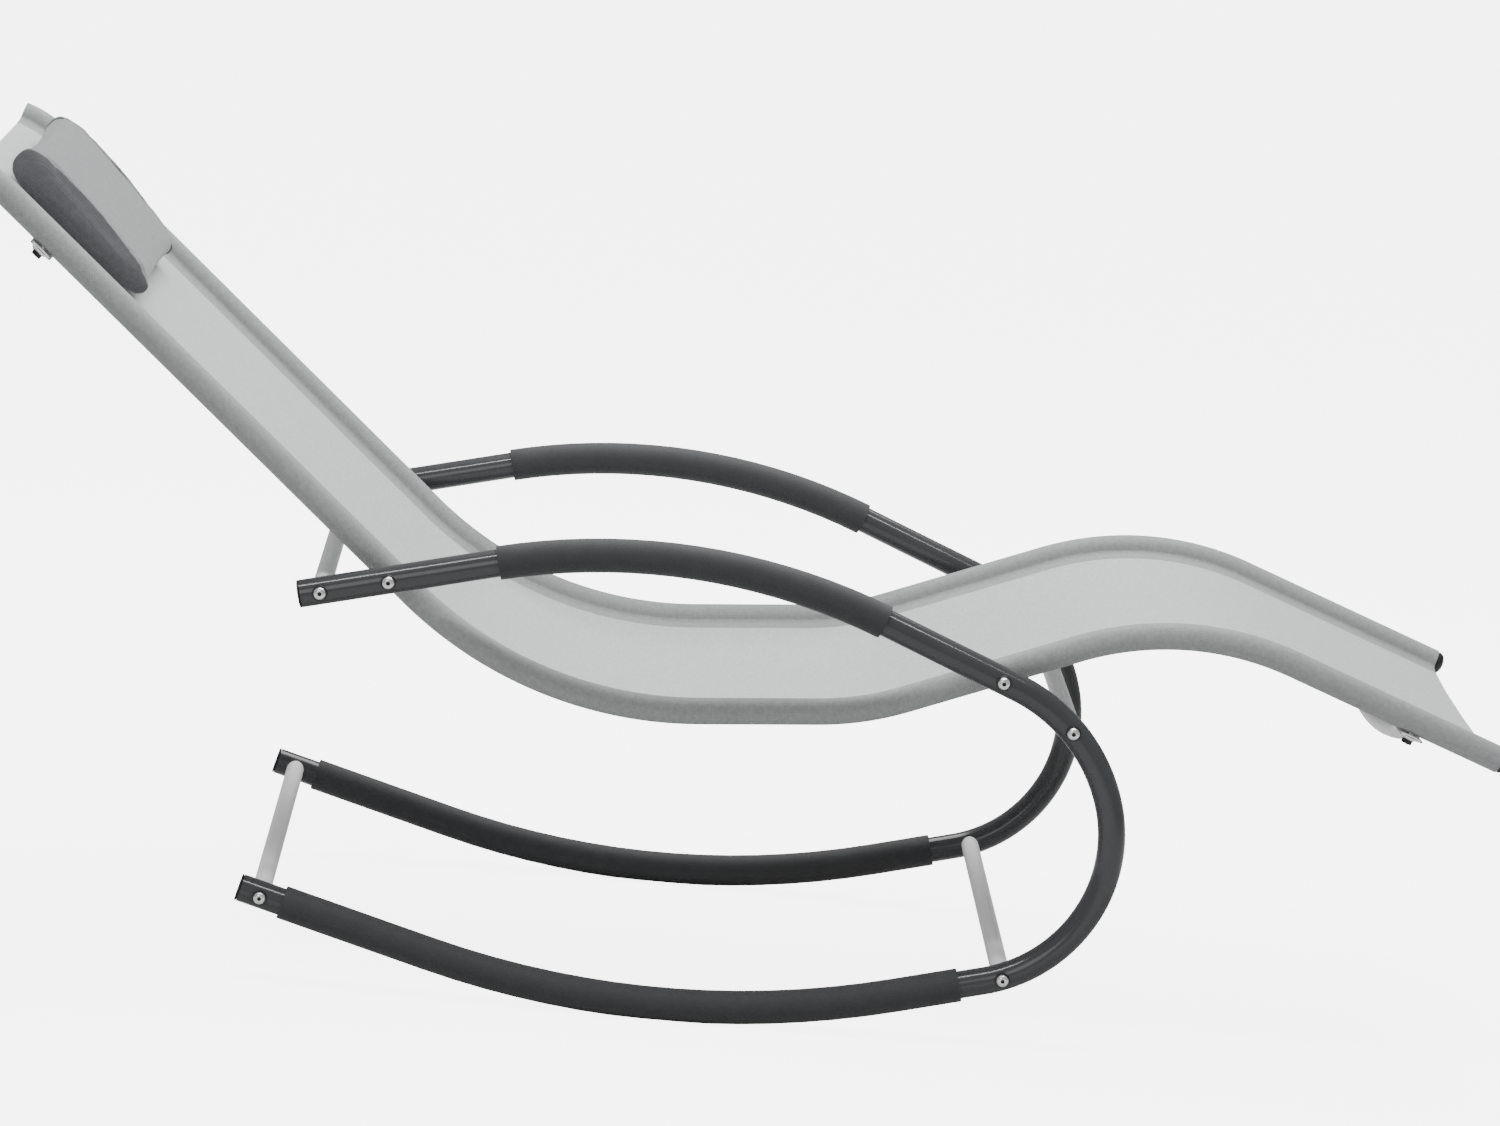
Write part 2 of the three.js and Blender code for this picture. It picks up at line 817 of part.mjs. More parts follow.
function slingSection(distance) {
  const sag = sagAt(distance);
  const sleeve = sleeveOutline();
  const panelHalf = [
    new THREE.Vector2(hemEdge, -hemDrop),
    new THREE.Vector2(hemEdge - sagShoulder, -hemDrop - sag),
  ];
  const underHalf = [
    new THREE.Vector2(hemEdge - sagShoulder, -hemDrop - sag - slingThickness),
    new THREE.Vector2(hemEdge - slingThickness, -hemDrop - slingThickness - slingThickness / 10),
    new THREE.Vector2(hemEdge, -hemDrop - 2 * slingThickness),
  ];
  return {
    outline: [
      ...sleeve,
      ...panelHalf,
      ...mirrored(panelHalf),
      ...mirrored(sleeve),
      ...mirrored(underHalf),
      ...underHalf,
    ],
    bores: [railHalf, -railHalf].map((across) => roundSection(sleeveInner, railSides, across)),
  };
}

function sling() {
  const sheet = solidOf(sweep(slingLine, slingSection));
  return geometryOf(cut(sheet, ...sides.flatMap(([, side]) => holesIntoRail(side))));
}

add(lounge, "sling", sling(), finish(slingGrey, 0.85, 0));

// Spreader bars, lofted from a round tube in the middle to a flat oval under each rail

function ovalLoop(halfWidth, halfHeight, roundness, across, height) {
  return Array.from({ length: turnedSides }, (_, i) => {
    const angle = ((i + 0.5) * 2 * Math.PI) / turnedSides;
    const [c, s] = [Math.cos(angle), Math.sin(angle)];
    return new THREE.Vector3(
      halfWidth * Math.sign(c) * Math.abs(c) ** (2 / roundness),
      across,
      height + halfHeight * Math.sign(s) * Math.abs(s) ** (2 / roundness),
    );
  });
}

// Skins a stack of loops that run along +Y. With inner loops it is a tube, open at both ends,
// and without them its end caps stand out by endPuff.
function loft(outer, inner, endPuff = 0) {
  const count = outer[0].length;
  const loops = inner ? [...outer, ...inner] : outer;
  const positions = loops.flat().flatMap(({ x, y, z }) => [x, y, z]);
  const faces = [];
  const quad = (a, b, c, d) => faces.push(a, b, c, a, c, d);
  const skin = (start, stack, inwards) => {
    for (let i = 0; i < stack.length - 1; i++) {
      for (let j = 0; j < count; j++) {
        const a = start + i * count + j;
        const b = start + i * count + ((j + 1) % count);
        if (inwards) quad(a, b, b + count, a + count);
        else quad(b, a, a + count, b + count);
      }
    }
  };
  skin(0, outer, false);
  if (inner) {
    const offset = outer.length * count;
    const lastLoop = (outer.length - 1) * count;
    skin(offset, inner, true);
    for (let j = 0; j < count; j++) {
      const k = (j + 1) % count;
      quad(j, k, offset + k, offset + j);
      quad(lastLoop + k, lastLoop + j, offset + lastLoop + j, offset + lastLoop + k);
    }
  } else {
    for (const [loop, first, facesBack] of [
      [outer[0], 0, true],
      [outer.at(-1), (outer.length - 1) * count, false],
    ]) {
      const middle = loop.reduce((sum, point) => sum.add(point), new THREE.Vector3());
      middle.divideScalar(count);
      const hub = positions.length / 3;
      positions.push(middle.x, middle.y + (facesBack ? -endPuff : endPuff), middle.z);
      for (let j = 0; j < count; j++) {
        const [a, b] = [first + j, first + ((j + 1) % count)];
        faces.push(hub, ...(facesBack ? [a, b] : [b, a]));
      }
    }
  }
  const geometry = new THREE.BufferGeometry();
  geometry.setAttribute("position", new THREE.Float32BufferAttribute(positions, 3));
  geometry.setIndex(faces);
  geometry.computeVertexNormals();
  return geometry;
}

const spreaderSeat = -(sleeveOuter / Math.cos(Math.PI / railSides)) - touchGap;
const spreaderFlatHeight = spreaderSeat - spreaderFlatThickness / 2;
const spreaderHalf = railHalf + spreaderOverhang;
const spreaderFlatEnd = spreaderHalf - spreaderFlatLength;
const spreaderRoundEnd = spreaderFlatEnd - spreaderTransition;

function spreaderLoops(inset) {
  const mix = THREE.MathUtils.lerp;
  const halfStations = [
    [spreaderHalf, 1],
    [spreaderFlatEnd, 1],
    [mix(spreaderFlatEnd, spreaderRoundEnd, 0.5), 0.5],
    ...spreaderStationShares.map((share) => [spreaderRoundEnd * share, 0]),
  ];
  const stations = [
    ...halfStations.map(([across, flat]) => [-across, flat]),
    ...halfStations.slice(0, -1).reverse(),
  ];
  return stations.map(([across, flat]) => {
    const round = spreaderDiameter / 2;
    const halfWidth = mix(round, spreaderFlatWidth / 2, flat) - inset;
    const halfHeight = mix(round, spreaderFlatThickness / 2, flat) - inset;
    const bow = spreaderBow * Math.max(0, 1 - (across / spreaderFlatEnd) ** 2);
    const roundness = mix(2, spreaderFlatRoundness, flat);
    return ovalLoop(halfWidth, halfHeight, roundness, across, spreaderFlatHeight - bow);
  });
}

function spreaderBar() {
  const bar = loft(spreaderLoops(0), spreaderLoops(spreaderWall));
  const holes = sides.map(([, side]) => {
    const hole = rodAcross(screwHole, 0, railTubeDiameter * 2, 0, 0);
    return solidOf(hole.rotateX(-Math.PI / 2).translate(0, side * railHalf, 0));
  });
  return geometryOf(cut(solidOf(bar), ...holes));
}

function flangeBolt() {
  const top = -touchGap;
  const flangeTop = top - flangeBoltFlangeHeight;
  const shank = turned(
    [
      [0, flangeTop],
      [flangeBoltFlange / 2, flangeTop],
      [flangeBoltFlange / 2, top],
      [screwDiameter / 2, top],
      [screwDiameter / 2, spreaderFlatThickness + flangeBoltReach],
      [0, spreaderFlatThickness + flangeBoltReach],
    ],
    screwSides,
  );
  const radius = hexagonRadius(flangeBoltAcrossFlats);
  const [headTop, inFlange] = [top - flangeBoltHeadHeight, top - flangeBoltFlangeHeight / 2];
  const hexagon = rodAcross(radius, headTop, inFlange, 0, 0, hexagonSides);
  return geometryOf(join(solidOf(shank), solidOf(hexagon)));
}

for (const [name, group] of Object.entries(spreaderGroups)) {
  add(group, name, spreaderBar(), finish(barSilver, 0.35, 0.6));
  for (const [sideName, side] of sides) {
    const boltName = `${name}_bolt_${sideName}`;
    const bolt = add(group, boltName, flangeBolt(), finish(boltDark, 0.4, 0.7));
    bolt.position.set(0, side * railHalf, spreaderSeat - spreaderFlatThickness);
    bolt.rotation.x = Math.PI / 2;
  }
}

// Head pillow and its tapes, on the straight of the back below the head curl

const back = groupOnRail(curlEnd + touchGap);
const panelTop = -hemDrop - backSag;
const loopTapeBase = panelTop + touchGap;
const hookTapeBase = loopTapeBase + tapeThickness + touchGap;
const pillowBase = hookTapeBase + tapeThickness + touchGap;

// How far the panel rises above its middle, at a distance across
function panelRise(across) {
  const beyond = Math.abs(across) - (hemEdge - sagShoulder);
  return backSag * THREE.MathUtils.clamp(beyond / sagShoulder, 0, 1);
}

function pillow() {
  const flatHalf = pillowWidth / 2 - pillowEndPuff;
  const stations = [
    ...pillowStationShares.map((station) => [-1, ...station]),
    [0, 0, 0, 1],
    ...pillowStationShares.map((station) => [1, ...station]).reverse(),
  ];
  const loops = stations.map(([end, share, puffShare, size]) => {
    const across = end * (share * flatHalf + puffShare * pillowEndPuff);
    const fullness = 1 - share ** 2;
    const halfLength = pillowLength / 2 - pillowDrawIn * fullness;
    const rise = panelRise(across);
    return Array.from({ length: pillowSidePoints }, (_, i) => {
      const angle = ((i + 0.5) * 2 * Math.PI) / pillowSidePoints;
      const [c, s] = [Math.cos(angle), Math.sin(angle)];
      const u = size * Math.sign(c) * Math.abs(c) ** (2 / pillowRoundness);
      const v = size * Math.sign(s) * Math.abs(s) ** (2 / pillowRoundness);
      const taper = ((1 - u) / 2) ** pillowTaperPower;
      const wedge = THREE.MathUtils.lerp(pillowFootThickness, pillowHeadThickness, taper);
      const crown = s > 0 ? pillowCrown * fullness * (1 - u * u) : 0;
      const height = rise + ((wedge - rise) * (v + 1)) / 2 + crown;
      return new THREE.Vector3(pillowLength / 2 + u * halfLength, across, pillowBase + height);
    });
  });
  return loft(loops, null, pillowEndPuff * (1 - pillowStationShares[0][1]));
}

function tape(length, base) {
  const box = new THREE.BoxGeometry(length, tapeWidth, tapeThickness);
  return box.translate(pillowLength / 2, 0, base + tapeThickness / 2);
}

const pillowMesh = add(back, "head_pillow", pillow(), finish(pillowGrey, 0.9, 0));
pillowMesh.position.x = -pillowOverhang;
for (const [name, side] of sides) {
  for (const [kind, length, base] of [
    ["loop", loopTapeLength, loopTapeBase],
    ["hook", hookTapeLength, hookTapeBase],
  ]) {
    const strip = add(back, `${kind}_tape_${name}`, tape(length, base), finish(tapeGrey, 1, 0));
    strip.position.set(-pillowOverhang, (side * tapeSpacing) / 2, 0);
  }
}

// The floor lies under the rockers' level facets, and the origin under the middle of the object
const box = new THREE.Box3().setFromObject(lounge, true);
lounge.position.set(-(box.min.x + box.max.x) / 2, 0, -box.min.z);

export default lounge;
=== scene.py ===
# %% [markdown]
# # A rocking lounger, dressed for its portrait
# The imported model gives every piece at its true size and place, in plain facets.
# This lesson rebuilds what the eye meets, in smooth tubes, woven textile, foam and metal,
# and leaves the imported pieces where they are, as the skeleton that all of it rides on.

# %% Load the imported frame
from math import copysign, cos, degrees, exp, hypot, pi, radians, sin

import bmesh
import bpy
import numpy
from mathutils import Matrix, Vector


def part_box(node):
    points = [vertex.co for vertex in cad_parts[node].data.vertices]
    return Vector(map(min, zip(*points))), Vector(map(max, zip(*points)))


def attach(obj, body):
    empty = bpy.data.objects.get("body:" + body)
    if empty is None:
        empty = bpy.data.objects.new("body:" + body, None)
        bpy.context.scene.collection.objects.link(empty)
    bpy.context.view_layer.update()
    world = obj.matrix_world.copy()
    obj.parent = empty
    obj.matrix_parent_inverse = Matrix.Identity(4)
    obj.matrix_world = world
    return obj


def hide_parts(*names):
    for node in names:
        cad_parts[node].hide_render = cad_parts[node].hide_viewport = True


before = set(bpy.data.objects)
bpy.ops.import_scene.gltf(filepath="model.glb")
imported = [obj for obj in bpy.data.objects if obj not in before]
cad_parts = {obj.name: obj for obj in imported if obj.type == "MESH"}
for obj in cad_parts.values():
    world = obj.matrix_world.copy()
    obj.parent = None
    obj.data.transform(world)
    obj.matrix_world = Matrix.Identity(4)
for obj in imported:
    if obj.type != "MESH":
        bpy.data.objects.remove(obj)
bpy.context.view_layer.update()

# %% [markdown]
# ## Camera
# A long lens far away keeps the two side frames nearly the same size, as a catalogue shot does.
# The lounger was shot rocked forward by 5.55 degrees. Here it stands at rest, so the camera
# rolls back with it, and sees what the photographer saw.

# %% Camera
camera_data = bpy.data.cameras.new("studio_camera")
camera_data.lens = 132.48
camera_data.sensor_width = 36
camera_data.clip_end = 100
camera = bpy.data.objects.new("studio_camera", camera_data)
camera.location = (-0.18721, -5.6957, 1.49859)
camera.rotation_euler = (radians(79.251), radians(-5.549), radians(-1.045))
bpy.context.scene.collection.objects.link(camera)
bpy.context.scene.camera = camera

# %% [markdown]
# ## Small tools for modelling
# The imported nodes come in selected, and an operator acts on all that is selected. So each step
# starts by selecting one piece, and in edit mode faces are picked by where they are. Picking
# faces leaves the face mode on, in which a bare ring can't be extruded, so each new piece goes
# back to the vertex mode.

# %% Modelling helpers
mm = 0.001
both_sides = (("left", 1), ("right", -1))


def switch_to(mode):
    bpy.ops.object.mode_set(mode=mode)


def edit_all():
    switch_to("EDIT")
    bpy.ops.mesh.select_all(action="SELECT")


def activate(piece):
    bpy.ops.object.select_all(action="DESELECT")
    piece.select_set(True)
    bpy.context.view_layer.objects.active = piece


def start_from(add, name, **settings):
    """A primitive at its size and place, left in edit mode with all of it selected."""
    bpy.ops.object.select_all(action="DESELECT")
    add(**settings)
    piece = bpy.context.object
    piece.name = piece.data.name = name
    switch_to("EDIT")
    bpy.ops.mesh.select_mode(type="VERT")
    bpy.ops.mesh.select_all(action="SELECT")
    return piece


def leave_edit(piece):
    """Back to object mode, with the piece's place moved into its mesh."""
    switch_to("OBJECT")
    activate(piece)
    bpy.ops.object.transform_apply(location=True, rotation=True, scale=True)
    return piece


def cylinder(name, radius, depth, at=(0, 0, 0), turn=(0, 0, 0), around=48):
    """A closed cylinder in object mode, which stands along Z unless it is turned."""
    size = {"radius": radius, "depth": depth, "vertices": around}
    place = {"location": at, "rotation": turn}
    return leave_edit(start_from(bpy.ops.mesh.primitive_cylinder_add, name, **size, **place))


def pick_faces(piece, test):
    """Selects the faces that pass a test on their centre and normal, in world space."""
    bpy.ops.mesh.select_mode(type="FACE")
    bpy.ops.mesh.select_all(action="DESELECT")
    mesh = bmesh.from_edit_mesh(piece.data)
    world = piece.matrix_world
    for face in mesh.faces:
        centre = world @ face.calc_center_median()
        normal = world.to_3x3() @ face.normal
        face.select_set(test(centre, normal))
    mesh.select_flush(True)
    bmesh.update_edit_mesh(piece.data)


def apply_modifier(piece, kind, **settings):
    activate(piece)
    modifier = piece.modifiers.new(kind.lower(), kind)
    for name, value in settings.items():
        setattr(modifier, name, value)
    bpy.ops.object.modifier_apply(modifier=modifier.name)


def smooth(piece, angle=35):
    activate(piece)
    bpy.ops.object.shade_smooth_by_angle(angle=radians(angle))


def point_outwards(piece):
    activate(piece)
    edit_all()
    bpy.ops.mesh.remove_doubles(threshold=1e-6)
    bpy.ops.mesh.normals_make_consistent(inside=False)
    switch_to("OBJECT")


def new_object(name, data):
    piece = bpy.data.objects.new(name, data)
    bpy.context.scene.collection.objects.link(piece)
    return piece


def mesh_object(name, vertices, faces):
    mesh = bpy.data.meshes.new(name)
    mesh.from_pydata(vertices, [], faces)
    return new_object(name, mesh)


def copy_of(master, name, matrix):
    """A copy with its own mesh, moved to its place."""
    piece = new_object(name, master.data.copy())
    piece.data.name = name
    piece.data.transform(matrix)
    return piece


def discard(*pieces):
    for piece in pieces:
        bpy.data.objects.remove(piece)


def share_of(value, start, end):
    """How far a value is on the way from start to end, between 0 and 1."""
    return min(max((value - start) / (end - start), 0), 1)


def eased(share):
    """The same share with a soft start and a soft end."""
    return share * share * (3 - 2 * share)


# %% [markdown]
# ## Nodes for the finishes
# Colours are written as the sRGB hex values that one reads off a screen, and one function turns
# them linear. The next one adds a node with its settings and links. The short ones after it
# stand for what most finishes share: noise, a sum, a range, two tones and a relief.

# %% Finish helpers
def linear(code):
    values = [int(code[i : i + 2], 16) / 255 for i in (1, 3, 5)]
    curve = [v / 12.92 if v <= 0.04045 else ((v + 0.055) / 1.055) ** 2.4 for v in values]
    return (*curve, 1)


def add_node(finish, kind, inputs=None, **settings):
    node = finish.node_tree.nodes.new("ShaderNode" + kind)
    for name, value in settings.items():
        setattr(node, name, value)
    for socket, value in (inputs or {}).items():
        if isinstance(value, bpy.types.NodeSocket):
            finish.node_tree.links.new(value, node.inputs[socket])
        else:
            node.inputs[socket].default_value = value
    return node


def new_finish(name, **constants):
    """A material with one Principled shader, and its constants set on the shader's sockets."""
    finish = bpy.data.materials.new(name)
    finish.use_nodes = True
    shader = finish.node_tree.nodes["Principled BSDF"]
    for socket, value in constants.items():
        shader.inputs[socket.replace("_", " ")].default_value = value
    return finish


def feed(finish, socket, output):
    """Links an output to a socket of the material's shader."""
    shader = finish.node_tree.nodes["Principled BSDF"]
    finish.node_tree.links.new(output, shader.inputs[socket])


def own_place(finish, kind="Object"):
    return add_node(finish, "TexCoord").outputs[kind]


def noise(finish, scale, detail, **more):
    """Noise in the piece's own coordinates."""
    inputs = {"Vector": own_place(finish), "Scale": scale, "Detail": detail, **more}
    return add_node(finish, "TexNoise", inputs).outputs["Fac"]


def calculate(finish, operation, *values):
    return add_node(finish, "Math", dict(enumerate(values)), operation=operation).outputs[0]


def map_range(finish, value, low, high, start=0.0, end=1.0):
    """Carries a value from the range start to end over to the range low to high."""
    inputs = {"Value": value, "From Min": start, "From Max": end, "To Min": low, "To Max": high}
    return add_node(finish, "MapRange", inputs).outputs["Result"]


def two_tones(finish, share, first, second):
    inputs = {0: share, 6: linear(first), 7: linear(second)}
    return add_node(finish, "Mix", inputs, data_type="RGBA").outputs[2]


def tint(finish, share, first, second):
    feed(finish, "Base Color", two_tones(finish, share, first, second))


def emboss(finish, height, strength, distance):
    """A relief in the normals: how strong it is, and how deep in metres."""
    inputs = {"Height": height, "Strength": strength, "Distance": distance}
    feed(finish, "Normal", add_node(finish, "Bump", inputs).outputs["Normal"])


def dress(piece, finish):
    piece.data.materials.clear()
    piece.data.materials.append(finish)


# %% [markdown]
# ## Powder-coated steel
# The frames are steel tube, blasted and sprayed with dry powder that melts to a skin. The skin
# has a faint orange peel, about 1.5 mm from hill to hill, which breaks up the long highlights.

# %% Powder-coated steel
grey_coat = new_finish("powder_coated_steel", Roughness=0.17, IOR=1.5)
tint(grey_coat, noise(grey_coat, 9.0, 3.0), "#333436", "#3d3e40")
emboss(grey_coat, noise(grey_coat, 650.0, 2.0), strength=0.3, distance=0.00002)

# %% [markdown]
# ## Silver paint on the crossbars
# A metallic lacquer: flakes in clear binder give a soft silver, brighter than the grey frames.

# %% Silver lacquered steel
silver_coat = new_finish("silver_lacquered_steel", Metallic=0.1, IOR=1.5)
flakes = noise(silver_coat, 420.0, 3.0)
tint(silver_coat, flakes, "#f0f1f1", "#f8f8f8")
feed(silver_coat, "Roughness", map_range(silver_coat, flakes, 0.3, 0.45))

# %% [markdown]
# ## Closed-cell foam rubber
# The grips are blown rubber foam with a skin: matte, nearly black, with pores about a
# millimetre apart that show only close by.

# %% Closed-cell foam
grip_foam = new_finish(
    "blown_foam_rubber", Roughness=0.72, IOR=1.48, Sheen_Weight=0.12, Sheen_Roughness=0.5
)
pores = add_node(grip_foam, "TexVoronoi", {"Vector": own_place(grip_foam), "Scale": 900.0})
skin = noise(grip_foam, 60.0, 4.0)
tint(grip_foam, skin, "#28292b", "#343537")
pores_and_skin = calculate(grip_foam, "ADD", pores.outputs["Distance"], skin)
emboss(grip_foam, pores_and_skin, strength=0.35, distance=0.0004)

# %% [markdown]
# ## Moulded polypropylene
# Plugs, washers and spacers are injection moulded. The mould's fine texture leaves a low,
# even sheen with a grain of about half a millimetre.

# %% Moulded polypropylene
black_plastic = new_finish("moulded_polypropylene", Roughness=0.45, IOR=1.49)
grain = noise(black_plastic, 1500.0, 1.0)
tint(black_plastic, grain, "#0c0c0d", "#171718")
emboss(black_plastic, grain, strength=0.2, distance=0.0001)

# %% [markdown]
# ## Plated steel for the fasteners
# The socket screws and the flange bolts are zinc plated, bright with a slightly cloudy sheen.
# A dark copy of the plating is painted shade: in each screw's socket, and on each bolt's hexagon
# head, which faces the floor under a rail.

# %% Plated steel
def plated_steel(name, dark, light, roughness):
    finish = new_finish(name, Metallic=1.0)
    cloud = noise(finish, 700.0, 4.0)
    tint(finish, cloud, dark, light)
    cloudy_roughness = map_range(finish, cloud, roughness * 0.7, roughness * 1.3)
    feed(finish, "Roughness", cloudy_roughness)
    return finish


zinc_plate = plated_steel("zinc_plated_steel", "#dcdddd", "#f0f0ef", 0.24)
dark_steel_shade = plated_steel("plated_steel_painted_shade", "#232426", "#434547", 0.36)

# %% [markdown]
# ## The sling's textile
# Outdoor sling cloth is polyester yarn sheathed in vinyl, woven open. Its colour holds painted
# light: a lighter tone where it is single, for the light that comes through it, and a tone a
# quarter darker as painted shade where it is doubled or lies on a tube. The sheet has its own flat
# coordinates in metres, so the threads follow it round the rails. Real threads lie about 1.1 mm
# apart, and here 1.8 mm, so that they show from where the camera stands.

# %% Woven vinyl-coated textile
hem_edge = 205 * mm
hem_raggedness, hem_blur = 1.2 * mm, 0.8 * mm


def woven_textile(name, pitch, backlit_single, doubled_shaded):
    finish = new_finish(name, Roughness=0.62, IOR=1.45, Sheen_Weight=0.1)
    flat = add_node(finish, "SeparateXYZ", {0: own_place(finish, "UV")})
    waves, cells = [], []
    for axis in ("X", "Y"):
        turns = calculate(finish, "MULTIPLY", flat.outputs[axis], 1 / pitch)
        cells.append(calculate(finish, "FLOOR", turns))
        wave = calculate(finish, "SINE", calculate(finish, "MULTIPLY", turns, pi))
        waves.append(calculate(finish, "ABSOLUTE", wave))
    # Warp on top in one cell and weft on top in the next, as in plain weave
    over = calculate(finish, "FLOORED_MODULO", calculate(finish, "ADD", *cells), 2.0)
    height = add_node(finish, "Mix", {0: over, 2: waves[0], 3: waves[1]}).outputs[0]
    mottle = noise(finish, 240.0, 3.0)
    across = calculate(finish, "ABSOLUTE", flat.outputs["X"])
    ragged = map_range(finish, mottle, -hem_raggedness, hem_raggedness)
    edge = calculate(finish, "ADD", across, ragged)
    # Painted light and shade: the single panel takes the lighter, backlit tone, and the doubled
    # hem and sleeve the darker, shaded one
    shaded_layers = map_range(finish, edge, 0.0, 1.0, hem_edge - hem_blur, hem_edge + hem_blur)
    tone = two_tones(finish, shaded_layers, backlit_single, doubled_shaded)
    # Painted shade: the threads' hollows are darker than their backs
    shade = map_range(finish, height, 0.72, 1.06)
    speckle = map_range(finish, mottle, 0.9, 1.1, 0.3, 0.7)
    light = calculate(finish, "MULTIPLY", shade, speckle)
    colour = add_node(finish, "VectorMath", {0: tone, "Scale": light}, operation="SCALE")
    feed(finish, "Base Color", colour.outputs[0])
    emboss(finish, height, strength=0.5, distance=0.0004)
    return finish


# The first tone is painted backlight through the single cloth, the second painted shade where it
# is doubled
sling_cloth = woven_textile("woven_vinyl_coated_textile", 1.8 * mm, "#c7c9c9", "#979a9a")

# %% [markdown]
# ## The pillow's cover and the tapes
# The cover is a soft woven polyester, finer than the sling, in a mottled grey. After the remesh
# it has no flat coordinates, so three crossed waves in space stand for its weave. The end
# panels take a darker copy of the cover, which is painted shade on faces that turn sideways.
# The tapes are nylon with hooks or loops.

# %% Soft woven cover
back_slope = -40.1


def soft_cover(name, dark, light, pitch=1.6 * mm):
    finish = new_finish(name, Roughness=0.85, IOR=1.45, Sheen_Weight=0.3, Sheen_Roughness=0.4)
    level = {"Vector": own_place(finish), "Rotation": (0, radians(back_slope), 0)}
    parts = add_node(finish, "SeparateXYZ", {0: add_node(finish, "Mapping", level).outputs[0]})
    waves = []
    for axis in ("X", "Y", "Z"):
        angle = calculate(finish, "MULTIPLY", parts.outputs[axis], 2 * pi / pitch)
        waves.append(calculate(finish, "SINE", angle))
    height = calculate(finish, "ADD", calculate(finish, "ADD", *waves[:2]), waves[2])
    mottle = noise(finish, 160.0, 5.0, Roughness=0.65)
    tint(finish, map_range(finish, mottle, 0.0, 1.0, 0.3, 0.7), dark, light)
    emboss(finish, height, strength=0.25, distance=0.0003)
    return finish


cover_cloth = soft_cover("woven_polyester_cover", "#7b7d7e", "#898b8c")
# A darker copy of the cover, as painted shade on the end panels
end_panel_shade_cloth = soft_cover("woven_polyester_end_panel_shade", "#525456", "#5a5c5e")
piping_cloth = soft_cover("bias_cut_piping", "#47494a", "#595b5c")
tape_cloth = soft_cover("hook_and_loop_nylon", "#6d6f71", "#828486", 1.0 * mm)

# %% [markdown]
# ## Bent lines
# Each tube was bent from one straight length, so its centre line is a chain of straight runs
# and arcs that touch smoothly. A straight run is written as its length, and an arc as its
# radius and its sweep, anticlockwise positive in the side view.

# %% Bent lines
def heading_vector(heading):
    return Vector((cos(radians(heading)), 0, sin(radians(heading))))


def run_length(run):
    return run[0] if len(run) == 1 else run[0] * radians(abs(run[1]))


def run_centre(point, heading, run):
    return point + heading_vector(heading + copysign(90, run[1])) * run[0]


def run_end(point, heading, run):
    if len(run) == 1:
        return point + heading_vector(heading) * run[0], heading
    centre = run_centre(point, heading, run)
    after = heading + run[1]
    return centre - heading_vector(after + copysign(90, run[1])) * run[0], after


def portion(run, length):
    if len(run) == 1:
        return (length,)
    return (run[0], copysign(degrees(length / run[0]), run[1]))


def line_length(line):
    return sum(run_length(run) for run in line[2])


def mount(x_axis, z_axis, point, across):
    """The matrix that stands a piece at a point, with its own X and Z along two directions."""
    y_axis = z_axis.cross(x_axis)
    turn = Matrix((x_axis, y_axis, z_axis)).transposed().to_4x4()
    return Matrix.Translation((point.x, across, point.z)) @ turn


def part_of(line, start, end):
    """The stretch of a line between two distances along it."""
    point, heading, runs = line
    first, kept, gone = None, [], 0
    for run in runs:
        length = run_length(run)
        low, high = max(start - gone, 0), min(end - gone, length)
        if high > low:
            if first is None:
                first = run_end(point, heading, portion(run, low))
            kept.append(portion(run, high - low))
        point, heading = run_end(point, heading, run)
        gone += length
    return (*first, kept)


def line_at(line, distance):
    """Point and heading at a distance, straight on before the start and after the end."""
    point, heading, runs = line
    if distance <= 0:
        return point + heading_vector(heading) * distance, heading
    for run in runs:
        length = run_length(run)
        if distance <= length:
            return run_end(point, heading, portion(run, distance))
        distance -= length
        point, heading = run_end(point, heading, run)
    return point + heading_vector(heading) * distance, heading


# %% The side frame's line and the rail's line
frame_half = 286 * mm
rail_half = 242.5 * mm
frame_radius, frame_wall = 14 * mm, 1.2 * mm
rail_radius, rail_wall = 12.5 * mm, 1 * mm


def runs_in_mm(*table):
    return [(size * mm, *sweep) for size, *sweep in table]


# A line is its start, its first heading in degrees, and its runs
frame_runs = runs_in_mm(
    (199,), (640, -35.6), (149,), (178, -50.9), (152.5, -93), (91.6,), (927, -29.6), (201,)
)
frame_line = (Vector((-432.424 * mm, 0, 403.227 * mm)), 14.3, frame_runs)
back_runs = ((107, -22.5), (568.5,), (407.7, 45.16), (120.8,))
leg_runs = ((300.9, 16.93), (181.6,), (309.5, -41.79), (233,))
rail_runs = runs_in_mm(*back_runs, *leg_runs)
rear_bolt_distance, bolt_on_rail = 89 * mm, 579.8 * mm
rear_bolt, _ = line_at(frame_line, rear_bolt_distance)
frame_to_back = 54.4
back_heading = frame_line[1] - frame_to_back
rail_heading = back_heading - rail_runs[0][1]
rail_line = (Vector((0, 0, 0)), rail_heading, rail_runs)
rail_line = (rear_bolt - line_at(rail_line, bolt_on_rail)[0], rail_heading, rail_runs)

# %% [markdown]
# ## Bending a tube
# A circle stands across the line at its start. Each straight run is one extrude, and each bend
# is one spin about the bend's own centre, just as the tube bender's die turns. The skin is then
# given its wall.

